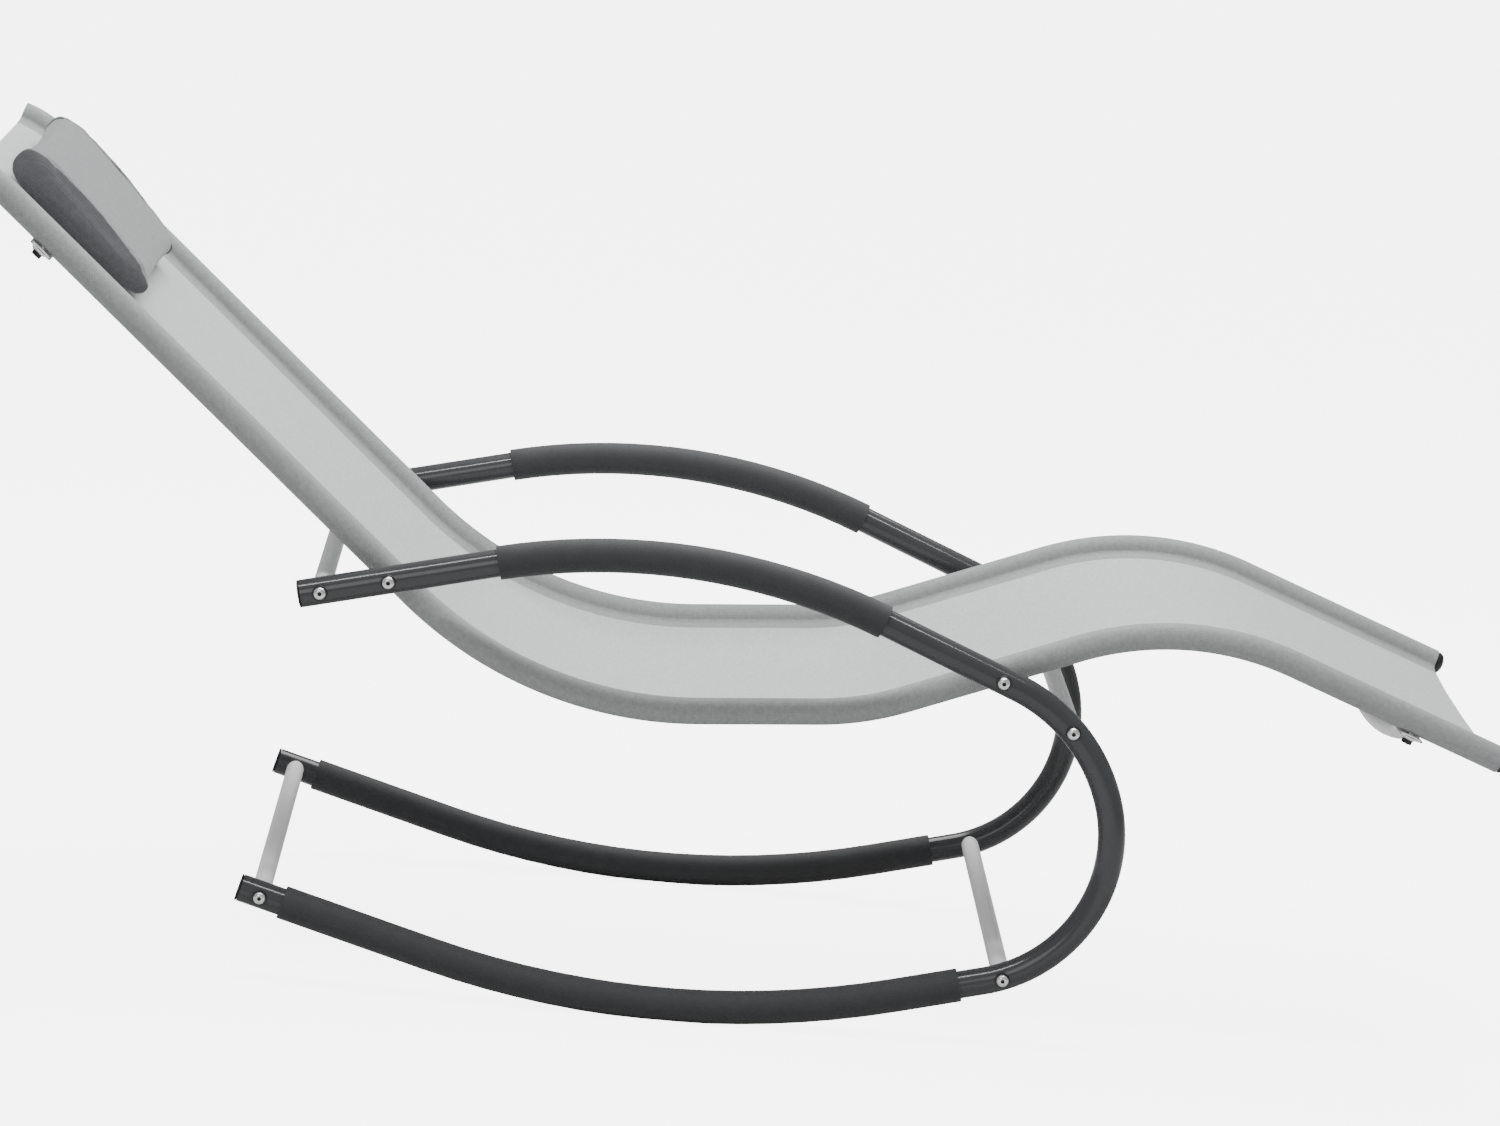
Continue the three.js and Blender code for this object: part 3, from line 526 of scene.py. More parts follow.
# %% Bend a tube
def bent_skin(name, line, radius, across, around=40):
    point, heading, runs = line
    skin = start_from(
        bpy.ops.mesh.primitive_circle_add,
        name,
        vertices=around,
        radius=radius,
        location=(point.x, across, point.z),
        rotation=(0, radians(90 - heading), 0),
    )
    for run in runs:
        if len(run) == 1:
            step = heading_vector(heading) * run[0]
            bpy.ops.mesh.extrude_region_move(TRANSFORM_OT_translate={"value": step})
        else:
            centre = run_centre(point, heading, run)
            bpy.ops.mesh.spin(
                steps=max(4, round(abs(run[1]) / 2)),
                angle=radians(run[1]),
                center=(centre.x, across, centre.z),
                axis=(0, 1, 0),
            )
        point, heading = run_end(point, heading, run)
    leave_edit(skin)
    point_outwards(skin)
    return skin


def bent_tube(name, line, radius, wall, across):
    tube = bent_skin(name, line, radius, across)
    apply_modifier(tube, "SOLIDIFY", thickness=wall, offset=-1)
    smooth(tube)
    return tube


for side_name, side in both_sides:
    tube = bent_tube(
        f"bent_frame_{side_name}", frame_line, frame_radius, frame_wall, side * frame_half
    )
    dress(tube, grey_coat)
    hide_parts(f"side_frame_{side_name}")
    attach(tube, "frame")

# %% Bend the rails
for side_name, side in both_sides:
    rail = bent_tube(f"bent_rail_{side_name}", rail_line, rail_radius, rail_wall, side * rail_half)
    dress(rail, grey_coat)
    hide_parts(f"seat_rail_{side_name}")
    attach(rail, "frame")

# %% [markdown]
# ## Rods that cut
# A crossbar's end is filed hollow to sit on the round frame tube, and so are the washers and
# spacers. Each gets its hollow from a closed rod on the tube's own line, a hair thicker.

# %% Closed rods and Boolean cuts
rod_reach = 30 * mm


def bent_rod(line, start, end, radius, across):
    rod = bent_skin("cutting_rod", part_of(line, start, end), radius, across)
    edit_all()
    bpy.ops.mesh.fill_holes(sides=0)
    bpy.ops.mesh.normals_make_consistent(inside=False)
    switch_to("OBJECT")
    return rod


def combine(piece, operation, *tools):
    for tool in tools:
        apply_modifier(piece, "BOOLEAN", operation=operation, object=tool, solver="EXACT")
        discard(tool)


def bevel_edges(piece, width, segments=2):
    sharp = {"limit_method": "ANGLE", "angle_limit": radians(50)}
    apply_modifier(piece, "BEVEL", width=width, segments=segments, **sharp)


def grow(rise, scale=1.0):
    """Extrudes what is selected along Z, and scales the new faces about their middle."""
    bpy.ops.mesh.extrude_region_move(TRANSFORM_OT_translate={"value": (0, 0, rise)})
    if scale != 1:
        bpy.ops.transform.resize(value=(scale, scale, 1))


def top_faces(height):
    return lambda centre, normal: normal.z > 0.9 and centre.z > height - 0.05 * mm


def bottom_faces(height):
    return lambda centre, normal: normal.z < -0.9 and centre.z < height + 0.05 * mm


# %% [markdown]
# ## Foam sleeves
# Each grip is a foam tube pulled over the steel. Under a rocker it is pressed flat where the
# lounger stands, so the skin is cut level with the floor.

# %% Foam sleeves
foam_radius = 17.1 * mm
foam_wall = 2.8 * mm
rocker_end = line_length(frame_line)
foam_places = {
    "armrest": (200 * mm, 597 * mm),
    "rocker": (rocker_end - 746 * mm, rocker_end - 44 * mm),
}
for side_name, side in both_sides:
    for place, (start, end) in foam_places.items():
        stretch = part_of(frame_line, start, end)
        grip = bent_skin(f"foam_{place}_{side_name}", stretch, foam_radius, side * frame_half)
        apply_modifier(grip, "SOLIDIFY", thickness=foam_wall, offset=-1)
        bevel_edges(grip, 0.8 * mm)
        if place == "rocker":
            edit_all()
            bpy.ops.mesh.bisect(
                plane_co=(0, 0, 0), plane_no=(0, 0, 1), use_fill=True, clear_inner=True
            )
            switch_to("OBJECT")
        smooth(grip)
        dress(grip, grip_foam)
        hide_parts(f"{place}_foam_{side_name}")
        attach(grip, "frame")

# %% [markdown]
# ## Plugs
# A plug is a flat cap with a barrel that grips inside the tube. The cap's rim is rounded with
# a bevel, and the barrel is an inset face drawn down. At the feet the cap is a dome instead,
# drawn up ring by ring along a quarter of an ellipse.

# %% Plugs
def end_plug(name, radius, wall, dome=None):
    """A cap over the tube's end and a barrel in it, both clear of the steel by a hair."""
    clear = 0.3 * mm
    shoulder = 2.7 * mm if dome else 2.2 * mm
    barrel, tip = 9.5 * mm, 1.5 * mm
    plug = cylinder(name, radius, shoulder, at=(0, 0, clear + shoulder / 2))
    if not dome:
        bevel_edges(plug, 1.1 * mm, segments=4)
    switch_to("EDIT")
    pick_faces(plug, bottom_faces(clear))
    bpy.ops.mesh.inset(thickness=wall + clear)
    grow(-barrel)
    grow(-tip, 0.93)
    if dome:
        pick_faces(plug, top_faces(clear + shoulder))
        last_width, last_height = 1, 0
        for turn in (15, 30, 45, 60, 72, 82):
            width, height = cos(radians(turn)), sin(radians(turn))
            grow((height - last_height) * dome, width / last_width)
            last_width, last_height = width, height
    switch_to("OBJECT")
    smooth(plug)
    return plug


frame_plug = end_plug("frame_plug_master", frame_radius, frame_wall)
rail_plug = end_plug("rail_plug_master", rail_radius, rail_wall)
domed_plug = end_plug("domed_plug_master", rail_radius, rail_wall, dome=7.5 * mm)
tube_ends = (
    (frame_plug, "flat_plug_armrest", "frame_plug_armrest", frame_line, True, frame_half),
    (frame_plug, "flat_plug_rocker", "frame_plug_rocker", frame_line, False, frame_half),
    (rail_plug, "rail_end_head", "rail_plug_head", rail_line, True, rail_half),
    (domed_plug, "rail_end_foot", "rail_plug_foot", rail_line, False, rail_half),
)
for side_name, side in both_sides:
    for master, name, node, line, at_start, half in tube_ends:
        point, heading = line_at(line, 0 if at_start else line_length(line))
        out = heading_vector(heading) * (-1 if at_start else 1)
        end_place = mount(Vector((0, 1, 0)), out, point, side * half)
        plug = copy_of(master, f"{name}_{side_name}", end_place)
        dress(plug, black_plastic)
        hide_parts(f"{node}_{side_name}")
        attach(plug, "frame")
discard(frame_plug, rail_plug, domed_plug)

# %% [markdown]
# ## Crossbars
# Four straight tubes tie the frames together. Each is filed at both ends to the frame's tube.

# %% Crossbars
lie_across = (radians(90), 0, 0)
crossbar_places = {
    "armrest": 20 * mm,
    "knee": 818 * mm,
    "front_base": rocker_end - 790 * mm,
    "rear_base": rocker_end - 21 * mm,
}
for place, distance in crossbar_places.items():
    point, _ = line_at(frame_line, distance)
    bar = cylinder(
        f"cross_tube_{place}", radius=9.5 * mm, depth=2 * frame_half, at=point, turn=lie_across
    )
    reach = (max(0, distance - rod_reach), min(rocker_end, distance + rod_reach))
    tools = [
        bent_rod(frame_line, *reach, frame_radius + 0.12 * mm, side * frame_half)
        for _, side in both_sides
    ]
    combine(bar, "DIFFERENCE", *tools)
    smooth(bar)
    dress(bar, silver_coat)
    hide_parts(f"{place}_crossbar")
    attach(bar, "frame")

# %% [markdown]
# ## Socket screws and saddle washers
# One button-head screw is turned: a rim, then rings that shrink as they rise, and a shank drawn
# down from an inset. The hexagon socket is cut last. A washer is a short black barrel, hollowed
# underneath to hug the tube.

# %% Socket screws
def turned(name, radius, rim, rings, ledge, shank):
    """A rim, rings that rise by so many mm and shrink, and a shank inset by a ledge."""
    piece = cylinder(name, radius, rim, at=(0, 0, rim / 2))
    switch_to("EDIT")
    pick_faces(piece, top_faces(rim))
    for rise, scale in rings:
        grow(rise * mm, scale)
    pick_faces(piece, bottom_faces(0))
    bpy.ops.mesh.inset(thickness=ledge)
    grow(-shank)
    switch_to("OBJECT")
    return piece


def socket_screw(shank):
    button = ((0.8, 0.95), (0.75, 0.9), (0.6, 0.85), (0.4, 0.78), (0.15, 0.75))
    screw = turned("screw_master", 6.3 * mm, 0.9 * mm, button, ledge=3.3 * mm, shank=shank)
    socket = cylinder("socket_cutter", 2.31 * mm, 4.4 * mm, at=(0, 0, 3.6 * mm), around=6)
    combine(screw, "DIFFERENCE", socket)
    smooth(screw, 40)
    return screw


def paint_shade(piece, place, test):
    """The faces that pass a test, in the fastener's own place, take the dark copy as painted
    shade.
    """
    piece.data.materials.append(dark_steel_shade)
    to_own = place.inverted()
    for face in piece.data.polygons:
        if test(to_own @ face.center):
            face.material_index = 1


def in_socket(centre):
    return hypot(centre.x, centre.y) < 2.35 * mm and 1.3 * mm < centre.z < 3.55 * mm


def saddle_washer():
    washer = cylinder("washer_master", radius=7.7 * mm, depth=7.4 * mm, at=(0, 0, 11.7 * mm))
    bevel_edges(washer, 0.4 * mm)
    lie_along = (0, radians(90), 0)
    tube = cylinder("tube_cutter", 14.12 * mm, 60 * mm, turn=lie_along, around=96)
    bore = cylinder("bore_cutter", 3.3 * mm, 60 * mm, around=96)
    combine(washer, "DIFFERENCE", tube, bore)
    smooth(washer, 40)
    return washer


def nearest(line, place, distances):
    """Where along a line, in whole mm, it comes nearest to a place."""
    return min((d * mm for d in distances), key=lambda d: (line_at(line, d)[0] - place).length)


low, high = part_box("front_rail_bolt_left")
front_bolt = Vector(((low[0] + high[0]) / 2, 0, (low[2] + high[2]) / 2))
front_bolt_distance = nearest(frame_line, front_bolt, range(300, 1000))
crossbar_screw = socket_screw(47 * mm)
rail_screw = socket_screw(58 * mm)
washer = saddle_washer()
fasteners = [
    (place, distance, crossbar_screw, f"{place}_screw")
    for place, distance in crossbar_places.items()
] + [
    ("rear_rail", rear_bolt_distance, rail_screw, "rear_rail_bolt"),
    ("front_rail", front_bolt_distance, rail_screw, "front_rail_bolt"),
]
for side_name, side in both_sides:
    outward = Vector((0, side, 0))
    for place, distance, screw, screw_node in fasteners:
        point, heading = line_at(frame_line, distance)
        along = heading_vector(heading)
        head = mount(along, outward, point, side * (frame_half + 15.6 * mm))
        piece = copy_of(screw, f"socket_screw_{place}_{side_name}", head)
        dress(piece, zinc_plate)
        # Painted shade in the socket's hollow
        paint_shade(piece, head, in_socket)
        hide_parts(f"{screw_node}_{side_name}")
        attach(piece, "frame")
        seat = mount(along, outward, point, side * frame_half)
        piece = copy_of(washer, f"saddle_washer_{place}_{side_name}", seat)
        dress(piece, black_plastic)
        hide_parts(f"{place}_washer_{side_name}")
        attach(piece, "frame")
discard(crossbar_screw, rail_screw, washer)

# %% [markdown]
# ## Spacers
# Between frame and rail each bolt runs through a short barrel, hollowed to both tubes.

# %% Spacers
sleeve_outer = 13.6 * mm
front_bolt_on_rail = nearest(rail_line, front_bolt, range(700, 1500))
for place, distance, on_rail in (
    ("rear", rear_bolt_distance, bolt_on_rail),
    ("front", front_bolt_distance, front_bolt_on_rail),
):
    point, _ = line_at(frame_line, distance)
    near_frame = (distance - rod_reach, distance + rod_reach, 14.15 * mm)
    near_rail = (on_rail - rod_reach, on_rail + rod_reach, sleeve_outer + 0.15 * mm)
    for side_name, side in both_sides:
        spacer = cylinder(
            f"barrel_spacer_{place}_{side_name}",
            radius=8 * mm,
            depth=frame_half - rail_half,
            at=(point.x, side * (frame_half + rail_half) / 2, point.z),
            turn=lie_across,
        )
        frame_rod = bent_rod(frame_line, *near_frame, side * frame_half)
        rail_rod = bent_rod(rail_line, *near_rail, side * rail_half)
        combine(spacer, "DIFFERENCE", frame_rod, rail_rod)
        smooth(spacer)
        dress(spacer, black_plastic)
        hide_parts(f"{place}_rail_spacer_{side_name}")
        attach(spacer, "frame")

# %% [markdown]
# ## The sling
# One cloth, 0.66 m wide as cut. From the middle outwards it runs as the panel, passes over the
# rail and round it as a sleeve, and comes back under itself as a doubled hem. The section is
# measured along the cloth, so the weave keeps its size, and then carried down the rail's line.

# %% Sling
sleeve_radius = 13.2 * mm
panel_drop = 5.5 * mm
back_sag, seat_sag = 3 * mm, 9 * mm
pull_height, row_spacing = 0.35 * mm, 7 * mm
panel_steps, lift_steps, sleeve_steps = 20, 9, 32
sleeve_wrap = radians(310)
sag_from = line_length((rail_line[0], rail_line[1], rail_runs[:2]))
sag_to = line_length((rail_line[0], rail_line[1], rail_runs[:7]))


def half_section():
    """Points from the middle to the hem's edge: across, height, share of the sag."""
    points = []
    for step in range(panel_steps + 1):
        share = step / panel_steps
        points.append((hem_edge * share, -panel_drop, 1 - share**2.6))
    # A quarter of an ellipse lifts the panel into the sleeve with no crease
    reach = rail_half - sleeve_radius - hem_edge
    for step in range(1, lift_steps):
        turn = pi / 2 * step / lift_steps
        points.append((hem_edge + reach * sin(turn), -panel_drop * cos(turn), 0))
    for step in range(sleeve_steps + 1):
        angle = pi - sleeve_wrap * step / sleeve_steps
        y = rail_half + sleeve_radius * cos(angle)
        points.append((y, sleeve_radius * sin(angle), 0))
    under = ((231.4, -8.1), (228.5, -6.95), (223, -6.55), (214, -6.45), (205.5, -6.45))
    points += [(y * mm, h * mm, 0) for y, h in under]
    return points


def sag_at(distance):
    share = share_of(distance, sag_from, sag_to)
    return back_sag + (seat_sag - back_sag) * sin(pi * share) ** 2


def sling_sheet():
    half = half_section()
    flat = [0]
    for (y0, h0, _), (y1, h1, _) in zip(half, half[1:]):
        flat.append(flat[-1] + hypot(y1 - y0, h1 - h0))
    columns = [(-y, h, share, -s) for (y, h, share), s in zip(half, flat)][:0:-1]
    columns += [(y, h, share, s) for (y, h, share), s in zip(half, flat)]
    start, end = -2.5 * mm, line_length(rail_line)
    rows = round((end - start) / row_spacing)
    vertices, uvs = [], []
    for row in range(rows + 1):
        distance = start + (end - start) * row / rows
        point, heading = line_at(rail_line, distance)
        up = heading_vector(heading + 90)
        sag = sag_at(distance)
        for y, h, share, s in columns:
            # Slow pulls in the weave, strongest in the middle and nothing at the hems
            slow = sin(distance * 19 + 2 * sin(y * 9))
            pull = pull_height * slow * sin(y * 31 + 1)
            height = h - share * (sag + pull)
            vertices.append((point.x + up.x * height, y, point.z + up.z * height))
            uvs.append((s, distance - start))
    wide = len(columns)
    faces = [
        (a, a + 1, a + wide + 1, a + wide)
        for row in range(rows)
        for a in range(row * wide, row * wide + wide - 1)
    ]
    sheet = mesh_object("sling_cloth", vertices, faces)
    layer = sheet.data.uv_layers.new(name="flat_cloth")
    for loop in sheet.data.loops:
        layer.data[loop.index].uv = uvs[loop.vertex_index]
    return sheet, 2 * flat[-1], end - start


sling, sling_width, sling_length = sling_sheet()
apply_modifier(sling, "SOLIDIFY", thickness=0.8 * mm, offset=0)
smooth(sling, 60)
dress(sling, sling_cloth)
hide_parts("sling")
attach(sling, "frame")

# %% [markdown]
# ## Spreader bars
# Each is one steel tube, bowed so that the sitter doesn't touch it, with its ends pressed flat
# in a die. A ring is drawn along the bar station by station, and squeezed wide and thin
# towards the ends.

# %% Spreader bars
bar_gap, flat_thickness = 0.5 * mm, 3.8 * mm
flat_height = -(sleeve_outer + bar_gap + flat_thickness / 2)
flat_end, round_end, bow_depth = 221 * mm, 190 * mm, 26 * mm
# Half widths and half heights in mm, of the round bar and of its pressed ends
round_half, pressed_width, pressed_height = 9.5, 13.5, 1.9


def spreader_stations():
    """Points from the bar's middle to its end: across, height, half width and half height."""
    stations = []
    for place in (0, 45, 90, 130, 165, 190, 198, 206, 214, 221, 229, 253.5):
        across = place * mm
        press = eased(share_of(across, round_end, flat_end))
        bow = bow_depth * max(0, 1 - (across / flat_end) ** 2)
        half_width = round_half + (pressed_width - round_half) * press
        half_height = round_half + (pressed_height - round_half) * press
        stations.append((across, flat_height - bow, half_width * mm, half_height * mm))
    return stations


def spreader(name, distance):
    stations = spreader_stations()
    across, height, width, thick = stations[-1]
    radius = round_half * mm
    bar = start_from(
        bpy.ops.mesh.primitive_circle_add,
        name,
        vertices=48,
        radius=radius,
        location=(0, -across, height),
        rotation=lie_across,
    )
    bpy.ops.transform.resize(value=(width / radius, 1, thick / radius))
    path = [(-a, h, w, t) for a, h, w, t in reversed(stations)] + stations[1:]
    for (a0, h0, w0, t0), (a1, h1, w1, t1) in zip(path, path[1:]):
        bpy.ops.mesh.extrude_region_move(TRANSFORM_OT_translate={"value": (0, a1 - a0, h1 - h0)})
        bpy.ops.transform.resize(value=(w1 / w0, 1, t1 / t0))
    leave_edit(bar)
    point_outwards(bar)
    apply_modifier(bar, "SOLIDIFY", thickness=1.4 * mm, offset=-1)
    smooth(bar, 45)
    point, heading = line_at(rail_line, distance)
    bar.data.transform(mount(heading_vector(heading), heading_vector(heading + 90), point, 0))
    dress(bar, silver_coat)
    return bar


def flange_bolt():
    bolt = turned(
        "flange_bolt_master", 8 * mm, 1.1 * mm, ((0.8, 0.86),), ledge=5 * mm, shank=14 * mm
    )
    head = cylinder("hexagon_head", 6.1 * mm, 5.6 * mm, at=(0, 0, 3.9 * mm), around=6)
    bevel_edges(head, 0.5 * mm)
    combine(bolt, "UNION", head)
    smooth(bolt)
    return bolt


def on_hexagon(centre):
    """The hexagon above the bright flange, which takes painted shade."""
    return centre.z > 1.95 * mm


bolt = flange_bolt()
for place, distance in (
    ("head", 106.3 * mm),
    ("foot", line_length(rail_line) - 95 * mm),
):
    bar = spreader(f"bowed_bar_{place}", distance)
    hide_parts(f"{place}_spreader")
    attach(bar, "frame")
    point, heading = line_at(rail_line, distance)
    below = heading_vector(heading - 90)
    # The flange lies 0.2 mm under the pressed end
    foot = point + below * (sleeve_outer + bar_gap + flat_thickness + 0.2 * mm)
    for side_name, side in both_sides:
        place_bolt = mount(heading_vector(heading), below, foot, side * rail_half)
        piece = copy_of(bolt, f"flange_bolt_{place}_{side_name}", place_bolt)
        dress(piece, zinc_plate)
        # Painted shade on the hexagon, which faces the floor under the rail
        paint_shade(piece, place_bolt, on_hexagon)
        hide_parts(f"{place}_spreader_bolt_{side_name}")
        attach(piece, "frame")
discard(bolt)

# %% [markdown]
# ## The pillow
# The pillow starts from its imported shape, drawn in a little, because air pressure in a cloth
# simulation fills it out. Pressure alone leaves the ends thin, where a real pillow is stuffed as
# firmly as in its middle, so the ends are filled up after it. Then come the seams: a groove
# round each end with a full rim beyond it, and a thin piping cord sewn into the groove.

# %% Pillow, blown up as a cloth
curl_end, _ = line_at(rail_line, run_length(rail_runs[0]) + 0.3 * mm)
back_along, back_up = heading_vector(back_heading), heading_vector(back_heading + 90)
back_place = mount(back_along, back_up, curl_end, 0)
pillow_base = -5.1 * mm
pillow_along = 76 * mm
pillow_middle = Vector((pillow_along, 0, 14 * mm))
seam_across = 143 * mm
pillow_scale = Vector((1.0, 1.0, 0.93))


def blow_up(piece, pressure, most, frames=20):
    """Cloth under pressure for some frames, with each point kept near where it was."""
    activate(piece)
    before = [vertex.co.copy() for vertex in piece.data.vertices]
    cloth = piece.modifiers.new("cloth", "CLOTH")
    cloth.settings.use_pressure = True
    cloth.settings.uniform_pressure_force = pressure
    cloth.settings.effector_weights.gravity = 0
    cloth.point_cache.frame_end = frames
    for number in range(1, frames + 1):
        bpy.context.scene.frame_set(number)
    blown = piece.evaluated_get(bpy.context.evaluated_depsgraph_get()).to_mesh()
    after = [vertex.co.copy() for vertex in blown.vertices]
    piece.modifiers.remove(cloth)
    bpy.context.scene.frame_set(1)
    for vertex, old, new in zip(piece.data.vertices, before, after):
        move = new - old
        if move.length > most:
            move *= most / move.length
        vertex.co = old + move


packed_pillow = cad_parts["head_pillow"]
pillow = new_object("pillow_cushion", packed_pillow.data.copy())
pillow.data.transform(packed_pillow.matrix_world)
point_outwards(pillow)
draw_in = back_place @ Matrix.Translation(pillow_middle) @ Matrix.Diagonal((*pillow_scale, 1))
pillow.data.transform(draw_in @ Matrix.Translation(-pillow_middle) @ back_place.inverted())
apply_modifier(pillow, "REMESH", mode="VOXEL", voxel_size=4 * mm)
blow_up(pillow, pressure=4, most=3 * mm)
apply_modifier(pillow, "SMOOTH", factor=0.5, iterations=2)
apply_modifier(pillow, "SUBSURF", levels=2, render_levels=2)

# %% Stuffing packed into the ends
to_back = back_place.inverted()
placed = [to_back @ vertex.co for vertex in pillow.data.vertices]
packed_to, band_steps = 136 * mm, 17


def band_size(across):
    """Height over the base and half length of the pillow at a distance across."""
    band = [p for p in placed if abs(abs(p.y) - across) < 3 * mm]
    height = max(p.z for p in band if abs(p.x - pillow_middle.x) < 8 * mm) - pillow_base
    return height, max(abs(p.x - pillow_middle.x) for p in band)


bands = [band_size(packed_to * step / band_steps) for step in range(band_steps + 1)]


def packing(across):
    """How much fuller than blown the pillow is at a distance across: height and length."""
    outward = min(abs(across), packed_to) / packed_to
    place = outward * band_steps
    low = min(int(place), band_steps - 1)
    share = place - low
    height, length = (bands[low][i] * (1 - share) + bands[low + 1][i] * share for i in (0, 1))
    # Towards the ends it gets 2.5 mm lower, and 4.5 mm longer to both sides of its middle
    bulge = outward**2
    return (41.5 - 2.5 * bulge) * mm / height, (87.5 + 4.5 * bulge) * mm / length


# %% Seams and creases
end_from, rim_depth, crown = 138 * mm, 12 * mm, 1.6 * mm
groove_depth, groove_width = 2.6 * mm, 1.9 * mm
rim_height, rim_beyond, rim_width = 6 * mm, 6 * mm, 3.4 * mm
for local in placed:
    taller, longer = packing(local.y)
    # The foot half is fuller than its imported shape, most of all at the ends
    footward = eased(share_of(local.x, 10 * mm, 110 * mm))
    endward = min(abs(local.y) / (130 * mm), 1)
    taller *= 1 + (0.05 + 0.05 * endward) * footward
    local.z = pillow_base + (local.z - pillow_base) * taller
    along = (local.x - pillow_middle.x) / (92 * mm)
    if local.z > pillow_base + 12 * mm:
        local.z += crown * (local.y / (150 * mm)) ** 2 * max(0, 1 - along**2)
    local.x = pillow_middle.x + (local.x - pillow_middle.x) * longer
    # The end is pushed out full at its rim and flat in its middle
    beyond = abs(local.y) - end_from
    if beyond > 0:
        fuller = 1.25 * min(beyond, rim_depth) + 0.62 * max(beyond - rim_depth, 0)
        local.y = copysign(end_from + fuller, local.y)
    # A groove at the seam, and outside it a rim that is pushed out
    beside = abs(local.y) - seam_across
    pucker = 0.85 + 0.15 * sin(local.x * 150 + 2 * sin(local.z * 90))
    groove = groove_depth * pucker * exp(-((beside / groove_width) ** 2))
    groove -= rim_height * exp(-(((beside - rim_beyond) / rim_width) ** 2))
    centre = Vector((local.x * 0.35 + 50 * mm, local.y, 14 * mm))
    inward = centre - local
    inward.y = 0
    if inward.length > 1e-6:
        local += inward.normalized() * groove
    # Shallow folds all over
    fold = sin(local.x * 70 + 3 * sin(local.y * 17)) * sin(local.y * 38 + 2)
    fine = sin(local.x * 31 - local.y * 143) * sin(local.x * 113 + local.y * 41)
    local.z += (0.16 * fold + 0.14 * fine) * mm

# %% Even top edges and a flat underside
# The remesh leaves steps of 2 mm in the ends' top edges. In each band across, the height that
# the cloth is evened out to lies halfway between a parabola and a straight line through the
# measured tops.
even_from, band_width, bin_length = 128 * mm, 3 * mm, 8 * mm
first_bin, last_bin, fewest_bins = 1, 18, 6


def end_tops(side):
    """For each band across, the evened top over the measured one in each bin along the back."""
    tops = {}
    for p in placed:
        if p.y * side > even_from:
            key = (int((p.y * side - even_from) / band_width), int(p.x // bin_length))
            tops[key] = max(tops.get(key, pillow_base), p.z)
    ratios = {}
    for band in {key[0] for key in tops}:
        inner = [
            b
            for b in range(first_bin, last_bin + 1)
            if tops.get((band, b), pillow_base) > pillow_base + 10 * mm
        ]
        if len(inner) < fewest_bins:
            continue
        measured = [tops[band, b] for b in inner]
        arc, line = numpy.polyfit(inner, measured, 2), numpy.polyfit(inner, measured, 1)
        for b, top in zip(inner, measured):
            evened = (numpy.polyval(arc, b) + numpy.polyval(line, b)) / 2
            ratios[band, b] = (evened - pillow_base) / (top - pillow_base)
        # Half of it in the bins at both sides, so that it fades out
        for outer, b in ((inner[0] - 1, inner[0]), (inner[-1] + 1, inner[-1])):
            ratios[band, outer] = (1 + ratios[band, b]) / 2
    return ratios


def evening(ratios, across, along):
    """The ratio between the four bins around a place, and 1 where there is none."""
    row, column = across / band_width - 0.5, along / bin_length - 0.5
    low_row, low_column = int(row // 1), int(column // 1)
    total = 0
    for i in (0, 1):
        for j in (0, 1):
            share = abs(1 - i - (row - low_row)) * abs(1 - j - (column - low_column))
            total += share * ratios.get((max(low_row + i, 0), low_column + j), 1)
    return total


end_ratios = {side: end_tops(side) for side in (1, -1)}
for vertex, local in zip(pillow.data.vertices, placed):
    across = abs(local.y) - even_from
    if across > 0 and local.z > pillow_base:
        ratio = evening(end_ratios[1 if local.y > 0 else -1], across, local.x)
        share = min((local.z - pillow_base) / (25 * mm), 1) * min(across / (6 * mm), 1)
        local.z = pillow_base + (local.z - pillow_base) * (1 + (ratio - 1) * share)
    rise = 3 * mm * share_of(abs(local.y), 120 * mm, 205 * mm)
    local.z = max(local.z, pillow_base + rise)
    vertex.co = back_place @ local
smooth(pillow, 60)
pillow.data.materials.clear()
pillow.data.materials.append(cover_cloth)
pillow.data.materials.append(end_panel_shade_cloth)
# Painted shade: faces at the ends that turn sideways take the darker copy of the cover
for face in pillow.data.polygons:
    if abs(face.center.y) > seam_across and abs(face.normal.y) > 0.7:
        face.material_index = 1
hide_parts("head_pillow")
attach(pillow, "pillow")


# %% Piping in the seams
def piping(name, across, radius=0.9 * mm, around=160, corners=10):
    """A thin cord that follows the pillow's section at a distance across."""
    centre = back_place @ Vector((pillow_along, across, 15 * mm))
    path = []
    for step in range(around):
        angle = 2 * pi * step / around
        out = back_along * cos(angle) + back_up * sin(angle)
        hit, place, _, _ = pillow.ray_cast(centre + out * 0.2, -out)
        path.append(place if hit else centre)
    side = Vector((0, 1, 0))
    vertices, faces = [], []
    for step, place in enumerate(path):
        after = (step + 1) % around
        ahead = (path[after] - path[step - 1]).normalized()
        out = ahead.cross(side).normalized()
        for corner in range(corners):
            turn = 2 * pi * corner / corners
            vertices.append(place + (side * cos(turn) + out * sin(turn)) * radius)
            beside = (corner + 1) % corners
            a, b = step * corners + corner, step * corners + beside
            faces.append((a, b, after * corners + beside, after * corners + corner))
    cord = mesh_object(name, vertices, faces)
    point_outwards(cord)
    smooth(cord, 60)
    dress(cord, piping_cloth)
    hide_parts("head_pillow")
    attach(cord, "pillow")


for side_name, side in both_sides:
    piping(f"pillow_piping_{side_name}", side * seam_across)

# %% [markdown]
# ## Hook-and-loop tapes
# Two strips are sewn on the sling and two on the pillow's underside. They are hidden in use,
# and show when the pillow slides away.

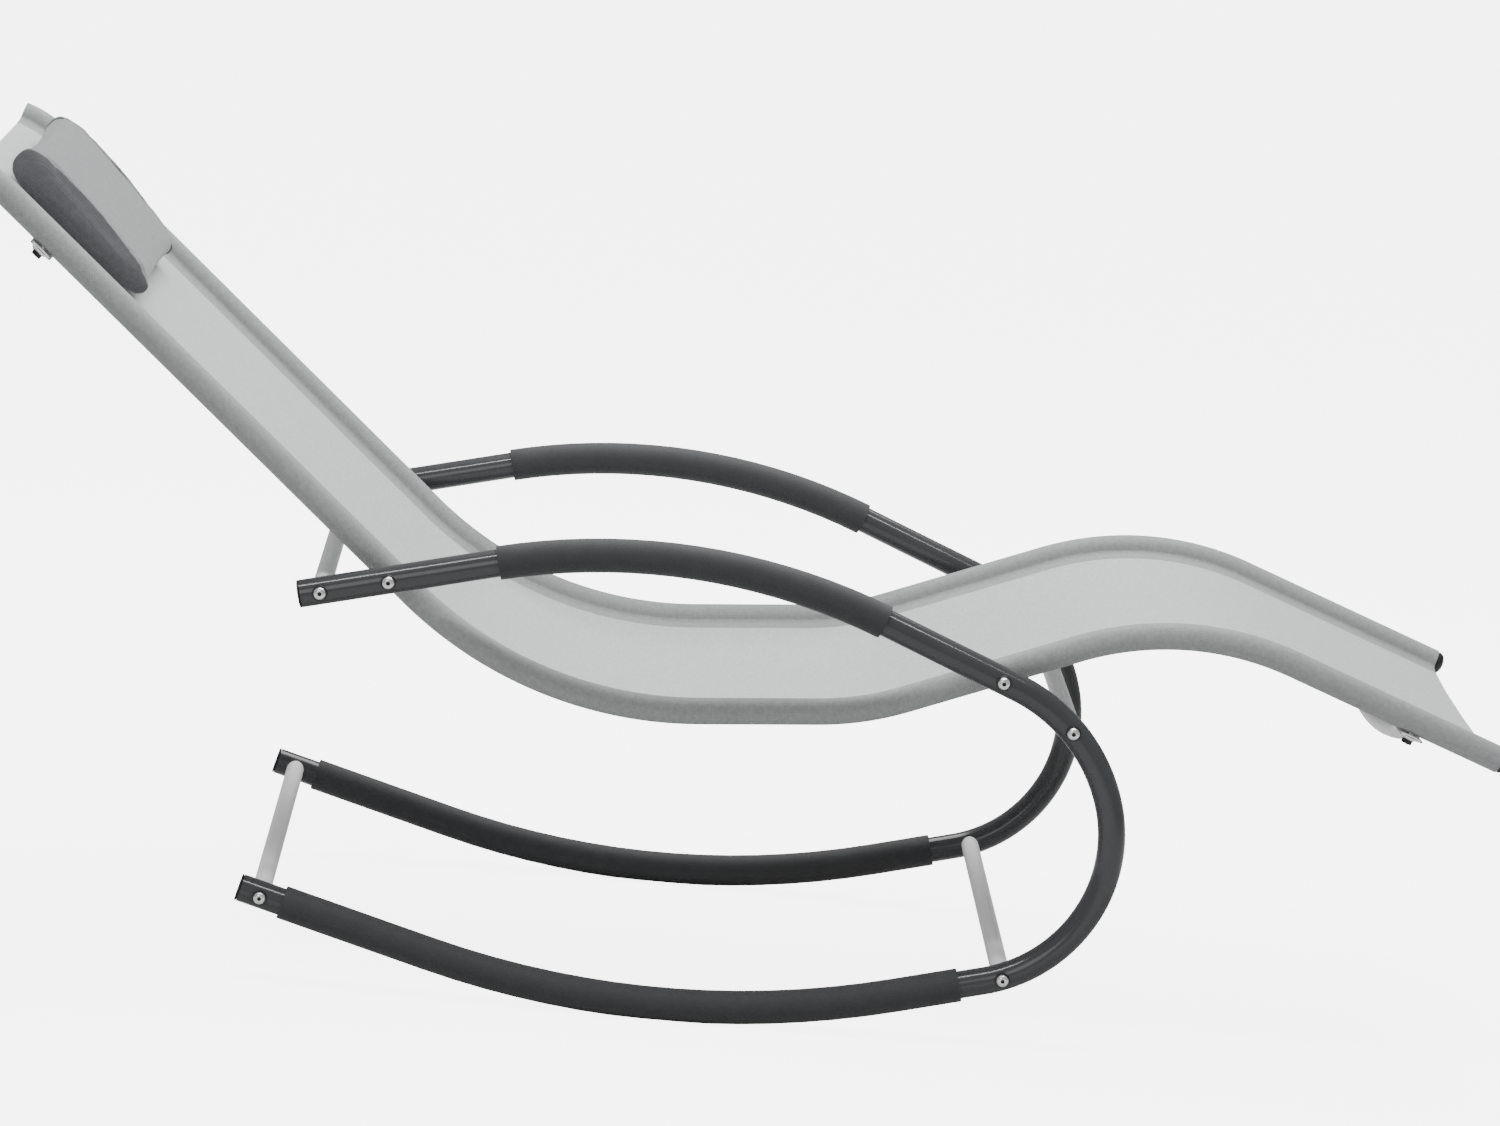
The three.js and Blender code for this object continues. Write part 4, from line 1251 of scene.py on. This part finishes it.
# %% Tapes
tape_width, tape_across = 24 * mm, 75 * mm
for kind, length, base, body, rest in (
    ("loop", 120 * mm, -7.6 * mm, "frame", "sling_cloth"),
    ("hook", 150 * mm, -6.3 * mm, "pillow", "pillow_cushion"),
):
    for side_name, side in both_sides:
        strip = start_from(bpy.ops.mesh.primitive_plane_add, f"{kind}_strip_{side_name}", size=1)
        bpy.ops.transform.resize(value=(length, tape_width, 1))
        bpy.ops.mesh.bevel(affect="VERTICES", offset=3 * mm, segments=4)
        leave_edit(strip)
        apply_modifier(strip, "SOLIDIFY", thickness=0.8 * mm, offset=1)
        on_back = Matrix.Translation((pillow_along, side * tape_across, base))
        strip.data.transform(back_place @ on_back)
        smooth(strip)
        dress(strip, tape_cloth)
        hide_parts(f"{kind}_tape_{side_name}")
        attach(strip, body)

# %% [markdown]
# ## Floor and light
# A white sweep under a wide soft light from above and behind, as for a catalogue, which leaves
# the near faces darker. A long narrow light above draws the bright line along each tube, and a
# weak one in front keeps the near faces from going black. A photographer lights the backdrop
# with lamps of its own, so that it is white in the picture and throws no glare on the product.
# Here paper and sky are brighter for the rays that come straight from the camera.

# %% Floor, backdrop and light
paper_seen_glow, sky_light, sky_seen_light = 5.5, 0.5, 7.0
bpy.ops.object.select_all(action="DESELECT")
bpy.ops.mesh.primitive_plane_add(size=60, location=(0, 0, 0))
floor = bpy.context.object
floor.name = floor.data.name = "studio_floor"
floor_paint = new_finish(
    "white_studio_paper",
    Roughness=0.9,
    Base_Color=linear("#d4d4d4"),
    Emission_Color=(1, 1, 1, 1),
)
seen = add_node(floor_paint, "LightPath").outputs["Is Camera Ray"]
glow = calculate(floor_paint, "MULTIPLY", seen, paper_seen_glow)
feed(floor_paint, "Emission Strength", glow)
dress(floor, floor_paint)

world = bpy.data.worlds.new("studio_white")
world.use_nodes = True
sky = world.node_tree.nodes["Background"]
sky.inputs["Color"].default_value = (1, 1, 1, 1)
seen = add_node(world, "LightPath").outputs["Is Camera Ray"]
sky_strength = map_range(world, seen, sky_light, sky_seen_light)
world.node_tree.links.new(sky_strength, sky.inputs["Strength"])
bpy.context.scene.world = world


def soft_light(name, place, size, watts):
    """A rectangular light that is aimed at the lounger's middle."""
    data = bpy.data.lights.new(name, "AREA")
    data.shape = "RECTANGLE"
    data.size, data.size_y = size
    data.energy = watts
    light = new_object(name, data)
    light.location = place
    aim = Vector((0, 0, 0.4)) - Vector(place)
    light.rotation_euler = aim.to_track_quat("-Z", "Y").to_euler()


soft_light("overhead_softbox", (0.2, 1.2, 3.0), (2.2, 2.2), 105)
soft_light("strip_light", (0, -0.9, 3.0), (3.4, 0.25), 65)
soft_light("front_fill", (-1.2, -4.2, 2.0), (2.0, 2.0), 24)
